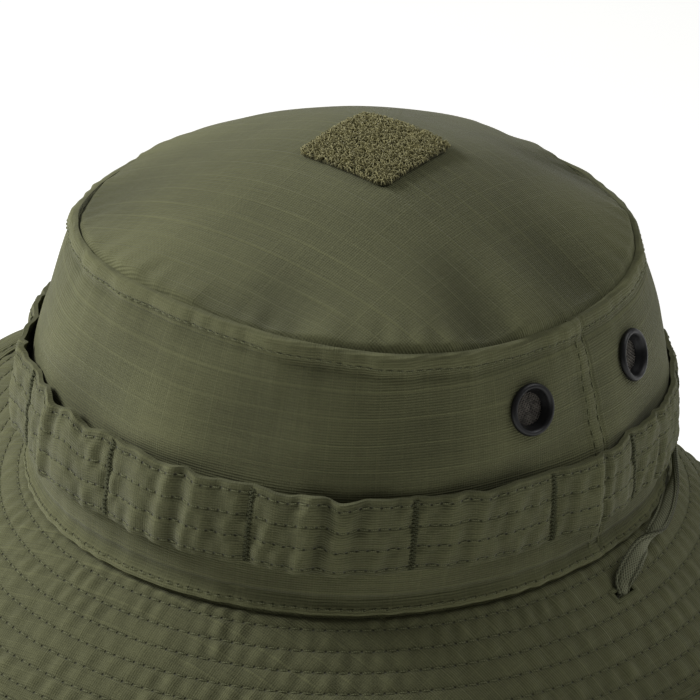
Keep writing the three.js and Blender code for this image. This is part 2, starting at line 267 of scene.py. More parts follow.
@dataclass
class Cloth:
    """A ply of cloth on a grid: its outer face, its back, and where it is cut away.

    Fields:
        front: Outer face, rows round the hat and columns across, in millimetres.
        back: Inner face on the same grid.
        weave: Thread coordinates in millimetres, with one row more on a ring.
        rows: Stitch coordinates: stitch number, and millimetres from the nearest row.
        relief: Height of each point, for wear on the ridges and painted shade in the valleys.
        ring: Whether the rows close on themselves.
        keep: Which cells of the grid are cloth, and which are a hole.
    """

    front: Array
    back: Array
    weave: Array
    rows: Array | None = None
    relief: Array | None = None
    ring: bool = True
    keep: Array | None = None

    def build(self, name: str, weld: bool = False) -> Object:
        """Makes the ply: two faces, and a wall wherever a kept cell has no kept neighbour.

        Args:
            name: The piece's name.
            weld: Whether a pole is closed by merging its points.

        Returns:
            The piece.
        """
        count, cols = self.front.shape[:2]
        spans = count if self.ring else count - 1
        keep = np.ones((spans, cols - 1), bool) if self.keep is None else self.keep
        i, j = np.nonzero(keep)
        ci = np.stack([i, i + 1, i + 1, i], -1)
        cj = np.stack([j, j, j + 1, j + 1], -1)
        after = np.roll(keep, -1, 0) if self.ring else np.vstack([keep[1:], np.zeros((1, cols - 1), bool)])
        before = np.roll(keep, 1, 0) if self.ring else np.vstack([np.zeros((1, cols - 1), bool), keep[:-1]])
        blank = np.zeros((spans, 1), bool)
        beyond = [np.hstack([blank, keep[:, :-1]]), after, np.hstack([keep[:, 1:], blank]), before]
        point = (ci % count) * cols + cj
        corner = ci * cols + cj
        under = count * cols
        faces, places = [point, point[:, ::-1] + under], [corner, corner[:, ::-1]]
        for side, neighbour in enumerate(beyond):
            rim = ~neighbour[i, j]
            a, b = point[rim, side], point[rim, (side + 1) % 4]
            p, q = corner[rim, side], corner[rim, (side + 1) % 4]
            faces.append(np.stack([a, a + under, b + under, b], -1))
            places.append(np.stack([p, p, q, q], -1))
        place = np.concatenate(places)
        far = np.full((place.max() + 1, 2), (0.5, 99.0))
        rows = far if self.rows is None else self.rows.reshape(-1, 2)
        maps = {"weave": self.weave.reshape(-1, 2)[place], "rows": rows[place]}
        relief = np.zeros(under) if self.relief is None else self.relief.ravel()
        points = np.concatenate([self.front.reshape(-1, 3), self.back.reshape(-1, 3)])
        values = {"relief": np.concatenate([relief, np.zeros(under)])}
        return put_mesh(name, points, np.concatenate(faces), maps, values, weld)


def swept(name: str, centres: Array, wide: Array, section: Array, closed: bool = False) -> Object:
    """Makes a bar along a path, with rounded ends unless the path is closed.

    Each ring is centre + w * a + n * b, for the section's points (a, b), where w is the
    width direction squared to the path and n is the path's direction crossed with it.

    Args:
        name: The piece's name.
        centres: Points of the path.
        wide: Width direction at each point.
        section: Section points at each ring, (rings or 1, points, 2), in millimetres.
        closed: Whether the path is a loop.

    Returns:
        The piece.
    """
    along = np.roll(centres, -1, 0) - np.roll(centres, 1, 0) if closed else np.gradient(centres, axis=0)
    along = unit(along)
    wide = unit(wide - (wide * along).sum(-1, keepdims=True) * along)
    thick = np.cross(along, wide)
    section = np.broadcast_to(section, (len(centres), *section.shape[-2:]))
    rings = (centres[:, None] + wide[:, None] * section[..., :1] + thick[:, None] * section[..., 1:])
    run = np.concatenate([[0], np.cumsum(np.linalg.norm(np.diff(centres, axis=0), axis=1))])
    if not closed:
        ends = [(rings[0], centres[0], -along[0]), (rings[-1], centres[-1], along[-1])]
        cap = [np.stack([mid + (ring - mid) * size + way * out for size, out in ((0, 0.5), (0.7, 0.35))])
               for ring, mid, way in ends]
        rings = np.concatenate([cap[0], rings, cap[1][::-1]])
        run = np.concatenate([[run[0]] * 2, run, [run[-1]] * 2])
        section = np.concatenate([section[:1], section[:1], section, section[-1:], section[-1:]])
    count, sides = rings.shape[:2]
    faces = grid_faces(count, sides, ring_rows=closed, ring_cols=True)
    row, col = np.divmod(faces, sides)
    u = run[row]
    if closed:
        u = np.where((row == 0) & (row.max(1, keepdims=True) == count - 1), run[-1] + run[1], u)
    uv = np.stack([u, section[row, col, 0]], -1)
    lift = np.abs(section[..., 1])
    # relief: each point's share of the section's thickness; the braid's colour reads it as painted shade in
    # its grooves and edges
    values = {"relief": (lift / max(lift.max(), 1e-6)).ravel()}
    return put_mesh(name, rings.reshape(-1, 3), faces, {"weave": uv}, values, weld=not closed)


def oval(width: float, thick: float, count: int, square: float = 1.0) -> Array:
    """A section between an oval and a rounded bar.

    x and y are the powers of cos and sin that a superellipse has, kept with their signs.

    Args:
        width: Full width.
        thick: Full thickness.
        count: Number of points.
        square: 1 for an oval, towards 0 for a bar.

    Returns:
        The section's points.
    """
    a = circle(count)
    shape = np.stack([np.cos(a), np.sin(a)], -1)
    return np.sign(shape) * np.abs(shape) ** square * [width / 2, thick / 2]


def stitches(name: str, starts: Array, ends: Array, ups: Array, radius: float, rise: float) -> Object:
    """Makes a piece of sewing thread: one small bowed capsule for each stitch.

    A stitch runs from start to end, rises by a half sine, and dives into the cloth at both ends.

    Args:
        name: The piece's name.
        starts: Where each stitch comes up.
        ends: Where each goes down.
        ups: Directions out of the cloth.
        radius: Thread radius.
        rise: How far the middle stands up.

    Returns:
        The piece.
    """
    t = np.array([0.0, 0.0, 0.3, 0.7, 1.0, 1.0])
    size = np.array([0.0, 0.75, 1.0, 1.0, 0.75, 0.0])
    sides = 6
    turn = circle(sides)
    along = unit(ends - starts)
    across = unit(np.cross(along, ups))
    up = np.cross(across, along)
    lift = rise * np.sin(math.pi * t) - radius * 0.6 * np.cos(math.pi * t) ** 4
    mid = starts[:, None] + (ends - starts)[:, None] * t[None, :, None] + up[:, None] * lift[None, :, None]
    ring = (across[:, None] * np.cos(turn)[:, None] + up[:, None] * np.sin(turn)[:, None])[:, None]
    points = mid[:, :, None] + ring * (size * radius)[None, :, None, None]
    cell = grid_faces(len(t), sides, ring_cols=True)
    faces = (cell[None] + (np.arange(len(starts)) * len(t) * sides)[:, None, None]).reshape(-1, 4)
    row, col = np.divmod(cell, sides)
    uv = np.stack([t[row] * 3.0, col / sides], -1)
    maps = {"weave": np.broadcast_to(uv, (len(starts), *uv.shape)).reshape(-1, 4, 2)}
    return put_mesh(name, points.reshape(-1, 3), faces, maps, weld=True)


def turned(name: str, profile: Array, centre: Array, axis: Array, sides: int = 64,
           flute: Array | None = None) -> Object:
    """Makes a turned piece: a profile of (radius, height) revolved about an axis.

    A point is centre + axis * height + radius * (u cos a + v sin a), with u and v square to
    the axis. A profile that starts and ends on the axis closes at its poles, and one that
    doesn't closes on itself.

    Args:
        name: The piece's name.
        profile: Rows of radius and height.
        centre: Where height 0 lies.
        axis: The direction of height.
        sides: Divisions of the turn.
        flute: Radial change at each division, or none.

    Returns:
        The piece.
    """
    axis = unit(np.asarray(axis, float))
    helper = np.array([0.0, 0, 1]) if abs(axis[2]) < 0.9 else np.array([1.0, 0, 0])
    u = unit(np.cross(helper, axis))
    v = np.cross(axis, u)
    a = circle(sides)
    spoke = np.cos(a)[:, None] * u + np.sin(a)[:, None] * v
    radius = profile[:, 0][None] * (1 if flute is None else 1 + flute[:, None])
    points = centre + axis * profile[:, 1][None, :, None] + spoke[:, None] * radius[..., None]
    looped = profile[0, 0] > 1e-6
    faces = grid_faces(sides, len(profile), ring_rows=True, ring_cols=looped)
    row, col = np.divmod(faces, len(profile))
    run = np.concatenate([[0], np.cumsum(np.linalg.norm(np.diff(profile, axis=0), axis=1))])
    uv = np.stack([row / sides * 40.0, run[col]], -1)
    return put_mesh(name, points.reshape(-1, 3), faces, {"weave": uv}, weld=not looped)


def rounded(corners: list[tuple[float, float]], radius: float, steps: int = 4) -> Array:
    """Rounds a profile's inner corners with quadratic curves.

    Each corner c becomes (1-t)^2 p + 2t(1-t) c + t^2 q, where p and q lie a radius away.

    Args:
        corners: The profile's corners, in order.
        radius: Size of the rounding.
        steps: Points on each rounding, less one.

    Returns:
        The rounded profile.
    """
    sharp = np.array(corners, float)
    before, here, after = sharp[:-2], sharp[1:-1], sharp[2:]
    room = np.minimum(np.linalg.norm(before - here, axis=1), np.linalg.norm(after - here, axis=1)) * 0.45
    size = np.minimum(radius, room)[:, None]
    p, q = here + unit(before - here) * size, here + unit(after - here) * size
    t = np.linspace(0, 1, steps + 1)[None, :, None]
    bends = (1 - t) ** 2 * p[:, None] + 2 * t * (1 - t) * here[:, None] + t**2 * q[:, None]
    return np.concatenate([sharp[:1], bends.reshape(-1, 2), sharp[-1:]])


def bored(piece: Object, centre: Array, half: tuple[float, float], reach: float) -> None:
    """Cuts a rounded slot straight down through a piece, along Z.

    Args:
        piece: The piece to cut.
        centre: Middle of the slot.
        half: Half its width in X and in Y.
        reach: Half its height.
    """
    section = oval(2 * half[0], 2 * half[1], 40, 0.45)
    path = centre + np.linspace(-reach, reach, 3)[:, None] * [0, 0, 1]
    cutter = swept("slot_cutter", path, np.tile([1.0, 0, 0], (3, 1)), section)
    cut = piece.modifiers.new("slot", "BOOLEAN")
    cut.object, cut.operation, cut.solver = cutter, "DIFFERENCE", "EXACT"
    shape = bpy.data.meshes.new_from_object(piece.evaluated_get(bpy.context.evaluated_depsgraph_get()))
    piece.modifiers.clear()
    piece.data = shape
    shape.set_sharp_from_angle(angle=math.radians(35))
    bpy.data.objects.remove(cutter)


# ---------- finishes ----------
def linear(code: str) -> tuple[float, float, float, float]:
    """An sRGB hex colour such as #5d5d45 as linear red, green, blue and alpha."""
    parts = [int(code[i:i + 2], 16) / 255 for i in (1, 3, 5)]
    return (*[p / 12.92 if p <= 0.04045 else ((p + 0.055) / 1.055) ** 2.4 for p in parts], 1.0)


class Board:
    """A material's node board, built round its Principled shader."""

    def __init__(self, name: str, **sockets: object) -> None:
        """Starts a material and sets what is the same all over on the shader's own sockets.

        Args:
            name: The material's name.
            **sockets: Shader sockets, with _ for each space in their names.
        """
        self.material = bpy.data.materials.new(name)
        self.material.use_nodes = True
        self.tree = self.material.node_tree
        self.shader = self.tree.nodes["Principled BSDF"]
        for socket, value in sockets.items():
            self.shader.inputs[socket.replace("_", " ")].default_value = value

    def add(self, kind: str, links: dict | None = None, out: int | str = 0, **settings: object) -> Socket:
        """Adds a node with its settings and links.

        Args:
            kind: Node type, without its ShaderNode prefix.
            links: For each input, a socket to link or a value to set.
            out: Which output to return.
            **settings: The node's own properties.

        Returns:
            The output socket.
        """
        made = self.tree.nodes.new("ShaderNode" + kind)
        for key, value in settings.items():
            setattr(made, key, value)
        for key, value in (links or {}).items():
            if isinstance(value, Socket):
                self.tree.links.new(value, made.inputs[key])
            else:
                made.inputs[key].default_value = value
        return made.outputs[out]

    def math(self, operation: str, *values: Socket | float, **settings: object) -> Socket:
        """Adds a Math node: its operation, and the sockets or numbers that it works on."""
        return self.add("Math", dict(enumerate(values)), operation=operation, **settings)

    def ramp(self, value: Socket, low: float, high: float, start: float = 0.0, end: float = 1.0,
             **settings: object) -> Socket:
        """Adds a Map Range node, which takes low..high to start..end."""
        return self.add("MapRange", {0: value, 1: low, 2: high, 3: start, 4: end}, **settings)

    def mix(self, share: Socket, under: Socket | str, over: Socket | str) -> Socket:
        """Adds a Mix node of two colours, each a socket or an sRGB code."""
        ends = [linear(c) if isinstance(c, str) else c for c in (under, over)]
        return self.add("Mix", {0: share, 6: ends[0], 7: ends[1]}, 2, data_type="RGBA")

    def wear(self, colour: Socket | None = None, height: Socket | None = None,
             depth: float = 1.0, roughness: Socket | None = None) -> Material:
        """Links the finished colour, height and roughness to the shader.

        Args:
            colour: The colour, or none where it is set already.
            height: Height in millimetres, for the bump.
            depth: Strength of the bump.
            roughness: The roughness, or none.

        Returns:
            The material.
        """
        if colour:
            self.tree.links.new(colour, self.shader.inputs["Base Color"])
        if roughness:
            self.tree.links.new(roughness, self.shader.inputs["Roughness"])
        if height:
            bump = self.add("Bump", {"Strength": depth, "Distance": MM, "Height": height}, "Normal")
            self.tree.links.new(bump, self.shader.inputs["Normal"])
        return self.material


class Weave(Enum):
    """How a cloth is woven: whether heavier threads cross it, and how far apart, in mm."""

    RIPSTOP = 7.4
    PLAIN = 0.0


@dataclass(frozen=True)
class WovenCloth:
    """Dyed polycotton: matte, faintly fuzzy, every thread row just showing.

    The eye gets a dry, soft surface: fine lines of weft over warp, slubs that streak along
    the threads, and, on ripstop, a grid of doubled threads that stands up a little.

    Fields:
        name: The material's name.
        light: Colour of a full-faced thread.
        dark: Colour between threads.
        weave: Plain or ripstop.
        stitched: Whether the cloth has stitch rows with needle holes, which are darkened as painted shade.
        pitch: Thread spacing in mm; the real 0.4 is drawn at 0.75, so that it shows.
        stitch: Stitch length in mm, as the stitch coordinates count them.
        bump: Height of the weave in mm.
    """

    name: str = "ripstop_polycotton"
    light: str = "#6d6e4d"
    dark: str = "#54553b"
    weave: Weave = Weave.RIPSTOP
    stitched: bool = True
    pitch: float = 0.75
    stitch: float = 3.4
    bump: float = 0.15

    def make(self) -> Material:
        """Builds the material.

        Returns:
            The material, which reads the weave and rows maps and the relief attribute.
        """
        board = Board(self.name, Roughness=0.9, Specular_IOR_Level=0.22, Sheen_Weight=0.12,
                      Sheen_Roughness=0.45)
        add = board.add
        place = add("UVMap", uv_map="weave")
        split = add("SeparateXYZ", {0: place})
        u, v = split, split.node.outputs[1]
        warp = board.math("SINE", board.math("MULTIPLY", u, 2 * math.pi / self.pitch))
        weft = board.math("SINE", board.math("MULTIPLY", v, 2 * math.pi / self.pitch))
        thread = board.math("MULTIPLY_ADD", warp, 0.3, weft)
        slub_u = add("TexNoise",
                     {"Vector": add("VectorMath", {0: place, 1: (0.05, 1.1, 1)}, operation="MULTIPLY"),
                                  "Scale": 1.0, "Detail": 3.0})
        slub_v = add("TexNoise",
                     {"Vector": add("VectorMath", {0: place, 1: (1.1, 0.05, 1)}, operation="MULTIPLY"),
                                  "Scale": 1.0, "Detail": 3.0})
        cloud = add("TexNoise", {"Vector": place, "Scale": 0.035, "Detail": 4.0, "Roughness": 0.6})
        nap = add("TexNoise", {"Vector": place, "Scale": 0.9, "Detail": 5.0, "Roughness": 0.7})
        tone = board.math("MULTIPLY_ADD", slub_u, 0.55, 0.0)
        tone = board.math("MULTIPLY_ADD", slub_v, 0.35, tone)
        tone = board.math("MULTIPLY_ADD", cloud, 0.55, tone)
        tone = board.math("MULTIPLY_ADD", nap, 0.5, tone)
        tone = board.math("MULTIPLY_ADD", thread, 0.13, tone)
        # painted shade and wear: the relief attribute darkens the valleys as painted shade and lightens the
        # ridges as wear
        worn = add("Attribute", {}, "Fac", attribute_name="relief", attribute_type="GEOMETRY")
        tone = board.math("MULTIPLY_ADD", worn, 0.3, tone)
        height = board.math("MULTIPLY_ADD", thread, self.bump / 2, 0.0)
        height = board.math("MULTIPLY_ADD", slub_u, self.bump * 1.6, height)
        height = board.math("MULTIPLY_ADD", nap, 0.24, height)
        if self.weave is Weave.RIPSTOP:
            grid = None
            for way, share in ((u, 0.4), (v, 1.0)):
                near = board.math("PINGPONG", way, self.weave.value / 2)
                line = board.ramp(near, 0.0, 0.42, share, 0.0, interpolation_type="SMOOTHSTEP")
                grid = line if grid is None else board.math("MAXIMUM", grid, line)
            tone = board.math("MULTIPLY_ADD", grid, 0.34, tone)
            height = board.math("MULTIPLY_ADD", grid, 0.1, height)
        tone = board.ramp(tone, 0.62, 1.42)
        colour = board.mix(tone, self.dark, self.light)
        if self.stitched:
            rows = add("SeparateXYZ", {0: add("UVMap", uv_map="rows")})
            along = board.math("MULTIPLY", board.math("PINGPONG", rows, 0.5), self.stitch)
            across = rows.node.outputs[1]
            reach = board.math("ADD", board.math("MULTIPLY", along, along),
                               board.math("MULTIPLY", across, across))
            # painted shade: the needle holes and a furrow along each stitch row are darkened towards #1b1c12,
            # as well as sunk by the bump
            hole = board.ramp(reach, 0.0, 0.22, 1.0, 0.0, interpolation_type="SMOOTHSTEP")
            furrow = board.ramp(across, 0.0, 0.9, 1.0, 0.0, interpolation_type="SMOOTHSTEP")
            shade = board.math("MULTIPLY_ADD", hole, 0.5, board.math("MULTIPLY", furrow, 0.12),
                               use_clamp=True)
            colour = board.mix(shade, colour, "#1b1c12")
            height = board.math("MULTIPLY_ADD", hole, -0.45, height)
            height = board.math("MULTIPLY_ADD", furrow, -0.12, height)
        return board.wear(colour, height, 0.9)


@dataclass(frozen=True)
class SewingThread:
    """Core-spun polyester thread: two plies twisted, a little darker and silkier than cloth."""

    name: str = "core_spun_thread"
    colour: str = "#7c7e5e"
    dark: str = "#5c5e43"
    twist: float = 1.1

    def make(self) -> Material:
        """Builds the material: slanting ply lines, from the thread's own coordinates."""
        board = Board(self.name, Roughness=0.75, Specular_IOR_Level=0.15)
        split = board.add("SeparateXYZ", {0: board.add("UVMap", uv_map="weave")})
        slant = board.math("MULTIPLY_ADD", split, self.twist, split.node.outputs[1])
        ply = board.math("SINE", board.math("MULTIPLY", slant, 2 * math.pi))
        tone = board.ramp(ply, -1.0, 1.0)
        colour = board.mix(tone, self.dark, self.colour)
        height = board.math("MULTIPLY", ply, 0.015)
        return board.wear(colour, height)


@dataclass(frozen=True)
class PaintedBrass:
    """Baked black paint on stamped brass: satin, slightly orange-peeled, paler on worn edges."""

    name: str = "painted_brass"
    colour: str = "#0d0d0e"
    worn: str = "#252527"

    def make(self) -> Material:
        """Builds the material: fine orange peel of 0.6 mm and a rim that polishes grey."""
        board = Board(self.name, Specular_IOR_Level=0.38, Coat_Weight=0.06, Coat_Roughness=0.3)
        spot = board.add("TexCoord", {}, "Object")
        peel = board.add("TexNoise", {"Vector": spot, "Scale": 1600.0, "Detail": 2.0})
        scuff = board.add("TexNoise", {"Vector": spot, "Scale": 420.0, "Detail": 6.0, "Roughness": 0.7})
        edge = board.ramp(board.add("NewGeometry", {}, "Pointiness"), 0.5, 0.58)
        rub = board.math("MULTIPLY", edge, scuff)
        colour = board.mix(rub, self.colour, self.worn)
        rough = board.ramp(scuff, 0.3, 0.7, 0.34, 0.5)
        height = board.math("MULTIPLY", peel, 0.03)
        return board.wear(colour, height, 0.8, rough)


@dataclass(frozen=True)
class WireScreen:
    """Painted brass wire cloth: dull grey-brown wires over the dark of the crown."""

    name: str = "wire_screen"
    colour: str = "#7a746b"
    dark: str = "#4d4943"

    def make(self) -> Material:
        """Builds the material: a dusty tone that drifts over a few wires."""
        board = Board(self.name, Roughness=0.55, Metallic=0.2)
        spot = board.add("TexCoord", {}, "Object")
        dust = board.add("TexNoise", {"Vector": spot, "Scale": 500.0, "Detail": 4.0})
        tone = board.ramp(dust, 0.35, 0.65)
        colour = board.mix(tone, self.dark, self.colour)
        return board.wear(colour)


@dataclass(frozen=True)
class NylonPile:
    """Unbroken nylon loops: soft, shaggy, each loop with a painted highlight at its top."""

    name: str = "nylon_loop_pile"
    light: str = "#a09a69"
    dark: str = "#716e4a"

    def make(self) -> Material:
        """Builds the material: a random tone and a painted highlight for each loop, from its own attribute.
        """
        board = Board(self.name, Roughness=0.78, Sheen_Weight=0.35, Sheen_Roughness=0.4)
        # painted highlight: the relief attribute holds a random tone for each loop and a painted highlight at
        # its top
        tone_and_highlight = board.add("Attribute", {}, "Fac", attribute_name="relief", attribute_type="GEOMETRY")
        spot = board.add("TexCoord", {}, "Object")
        clump = board.add("TexNoise", {"Vector": spot, "Scale": 260.0, "Detail": 3.0})
        tone = board.math("MULTIPLY_ADD", clump, 0.8, tone_and_highlight)
        tone = board.ramp(tone, 0.35, 1.35)
        colour = board.mix(tone, self.dark, self.light)
        return board.wear(colour)


@dataclass(frozen=True)
class StrapBraid:
    """Flat braided nylon: silky ribs run its length, crossed by fine slanting plaits."""

    name: str = "braided_nylon"
    light: str = "#8f9174"
    dark: str = "#3c3d29"
    plait: float = 1.3

    def make(self) -> Material:
        """Builds the material: two crossing slants, each sin(2 pi (u +- 1.6 v) / plait)."""
        board = Board(self.name, Roughness=0.7, Specular_IOR_Level=0.2, Sheen_Weight=0.05)
        split = board.add("SeparateXYZ", {0: board.add("UVMap", uv_map="weave")})
        u, v = split, split.node.outputs[1]
        waves = []
        for sense in (1.6, -1.6):
            slant = board.math("MULTIPLY_ADD", v, sense, u)
            angle = board.math("MULTIPLY", slant, 2 * math.pi / self.plait)
            waves.append(board.math("SINE", angle))
        plaits = board.math("MAXIMUM", waves[0], waves[1])
        # painted shade: the relief attribute, each point's height off the centreline, darkens the grooves
        # between ribs and the braid's edges
        rib = board.add("Attribute", {}, "Fac", attribute_name="relief", attribute_type="GEOMETRY")
        tone = board.math("MULTIPLY_ADD", plaits, 0.25, rib)
        tone = board.ramp(tone, 0.35, 1.15)
        colour = board.mix(tone, self.dark, self.light)
        height = board.math("MULTIPLY", plaits, 0.14)
        return board.wear(colour, height)


@dataclass(frozen=True)
class MouldedAcetal:
    """Injection-moulded acetal: waxy satin from a spark-eroded mould, scuffed on the ribs."""

    name: str = "moulded_acetal"
    colour: str = "#34372a"
    worn: str = "#4b4e3e"

    def make(self) -> Material:
        """Builds the material: 0.25 mm mould texture and pale scuffs where it is rubbed."""
        board = Board(self.name, IOR=1.48)
        spot = board.add("TexCoord", {}, "Object")
        grain = board.add("TexNoise", {"Vector": spot, "Scale": 4000.0, "Detail": 2.0})
        scuff = board.add("TexNoise", {"Vector": spot, "Scale": 300.0, "Detail": 6.0, "Roughness": 0.75})
        edge = board.ramp(board.add("NewGeometry", {}, "Pointiness"), 0.5, 0.6)
        rub = board.math("MULTIPLY", edge, scuff)
        colour = board.mix(rub, self.colour, self.worn)
        rough = board.ramp(scuff, 0.3, 0.7, 0.38, 0.55)
        height = board.math("MULTIPLY", grain, 0.02)
        return board.wear(colour, height, 0.6, rough)


@dataclass(frozen=True)
class SpringSteel:
    """Drawn steel wire: bright metal with faint lines along the draw."""

    name: str = "drawn_spring_steel"
    colour: str = "#b9b9b4"

    def make(self) -> Material:
        """Builds the material: roughness that varies in streaks along the wire."""
        board = Board(self.name, Metallic=1.0, Base_Color=linear(self.colour))
        place = board.add("VectorMath", {0: board.add("UVMap", uv_map="weave"), 1: (0.3, 9.0, 1.0)},
                          operation="MULTIPLY")
        streak = board.add("TexNoise", {"Vector": place, "Scale": 1.0, "Detail": 3.0})
        rough = board.ramp(streak, 0.3, 0.7, 0.22, 0.4)
        return board.wear(roughness=rough)


# ---------- the hat's form ----------
@dataclass(frozen=True)
class SeamLine:
    """An oval seam of the hat, with squarish corners and a gentle wave in height."""

    half_width: float
    half_length: float
    corner: float
    wave1: float
    wave2: float
    height: float = 0.0
    shift_y: float = 0.0

    def at(self, heading: Array) -> Array:
        """Points of the seam.

        x = W s sin a, y = shift - L s cos a, z = height + w1 cos a + w2 cos 2a, where
        s = 1 - corner cos 4a.

        Args:
            heading: Degrees from the front, towards the wearer's left.

        Returns:
            One point for each heading.
        """
        a = np.radians(heading)
        swell = 1 - self.corner * np.cos(4 * a)
        x = self.half_width * swell * np.sin(a)
        y = self.shift_y - self.half_length * swell * np.cos(a)
        return np.stack([x, y, self.height + self.wave1 * np.cos(a) + self.wave2 * np.cos(2 * a)], -1)


@dataclass(frozen=True)
class HatForm:
    """The hat's shape as cut and worn, in millimetres.

    It is the frame's, but for patch_lift, which raises the top's middle under the patch.
    """

    base: SeamLine = SeamLine(91.3, 95.0, 0.004, 4.9, -0.6)
    top: SeamLine = SeamLine(81.1, 78.1, 0.022, 5.3, 2.2, 76.7, 4.5)
    bulge: float = 5.0
    dome_rise: float = 27.0
    dome_power: float = 1.6
    dome_flat: float = 0.22
    apex: tuple[float, float] = (2.5, 7.5)
    patch_lift: float = 1.2
    slope: float = 38.6
    slope_waves: tuple[float, float] = (-4.2, 0.8)
    lifts: tuple[tuple[float, float, float], ...] = ((262, 28, -22), (175, 35, 7))

    def outward(self, heading: Array) -> Array:
        """The level direction square to the head opening at each heading."""
        a = np.radians(heading)
        level = np.stack([self.base.half_length * np.sin(a), -self.base.half_width * np.cos(a), 0 * a], -1)
        return unit(level)

    def wall_height(self, heading: Array) -> Array:
        """Height of the crown's side at each heading, seam to seam."""
        return self.top.at(heading)[..., 2] - self.base.at(heading)[..., 2]

    def wall(self, heading: Array, height: Array, lift: Array) -> Array:
        """Points of the crown's side.

        The straight line from seam to seam, swollen by bulge * sin(pi * level), plus lift.

        Args:
            heading: Degrees from the front.
            height: Millimetres above the brim seam.
            lift: Millimetres outwards.

        Returns:
            The points.
        """
        level = (height / self.wall_height(heading))[..., None]
        low, high = self.base.at(heading), self.top.at(heading)
        swell = self.bulge * np.sin(math.pi * np.clip(level, 0, 1)) + np.asarray(lift)[..., None]
        return low + (high - low) * level + self.outward(heading) * swell

    def dome(self, heading: Array, reach: Array) -> Array:
        """Points of the top: reach 0 at the apex, 1 at the top seam.

        z falls from the apex by rise * (reach^4 + flat^4)^(power / 4), and the seam's own
        wave fades in as reach^3.

        Args:
            heading: Degrees from the front.
            reach: Share of the way out to the seam.

        Returns:
            The points.
        """
        rim = self.top.at(heading)
        fall = (reach**4 + self.dome_flat**4) ** (self.dome_power / 4)
        wave = (rim[..., 2] - self.top.height) * reach**3
        z = self.top.height + wave + self.dome_rise * np.maximum(1 - fall, 0)
        plan = np.array(self.apex) + (rim[..., :2] - np.array(self.apex)) * reach[..., None]
        return np.concatenate([plan, z[..., None]], -1)

    def brim(self, heading: Array, reach: Array, lift: Array) -> Array:
        """Points of the brim's upper face.

        From the seam, reach along a slope that turns with the heading, and lift square to it.

        Args:
            heading: Degrees from the front.
            reach: Millimetres out from the seam.
            lift: Millimetres above the face.

        Returns:
            The points.
        """
        a = np.radians(heading)
        slope = self.slope + self.slope_waves[0] * np.cos(a) + self.slope_waves[1] * np.cos(2 * a)
        for at, spread, change in self.lifts:
            slope = slope + change * bell((heading - at + 540) % 360 - 180, spread)
        s = np.radians(slope)
        out = reach * np.cos(s) + lift * np.sin(s)
        point = self.base.at(heading) + self.outward(heading) * out[..., None]
        point[..., 2] -= reach * np.sin(s) - lift * np.cos(s)
        return point


def mesh_grid(headings: Array, across: Array) -> tuple[Array, Array]:
    """Headings by rows and the other coordinate by columns."""
    return np.meshgrid(headings, across, indexing="ij")


def arc_length(line: Array) -> Array:
    """Running length along a line of points."""
    return np.concatenate([[0], np.cumsum(np.linalg.norm(np.diff(line, axis=0), axis=1))])


def normals(points: Array, ring: bool) -> Array:
    """Unit normals of a grid of points, from the cross product of its two slopes.

    Args:
        points: The grid.
        ring: Whether its rows close on themselves.

    Returns:
        One normal for each point.
    """
    down = (np.roll(points, -1, 0) - np.roll(points, 1, 0)) if ring else np.gradient(points, axis=0)
    return unit(np.cross(down, np.gradient(points, axis=1)))


def declare(piece: Object, body: Body | None, slot: str, finish: Material, *nodes: str) -> None:
    """Gives a piece its finish and its body, and hides the frame nodes it stands for.

    Args:
        piece: The piece.
        body: The body it rides on, or none for a piece that bends between two.
        slot: The record's material slot; not used.
        finish: Its material.
        *nodes: Frame nodes that it replaces.
    """
    piece.data.materials.clear()
    piece.data.materials.append(finish)
    if body:
        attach(piece, body.value)
    if nodes:
        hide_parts(*nodes)
    LOG.info("%s: %d faces", piece.name, len(piece.data.polygons))


def middle(node: str) -> Array:
    """The centre of a frame node's box, in millimetres."""
    low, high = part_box(node)
    return (np.array(low) + np.array(high)) / 2 / MM


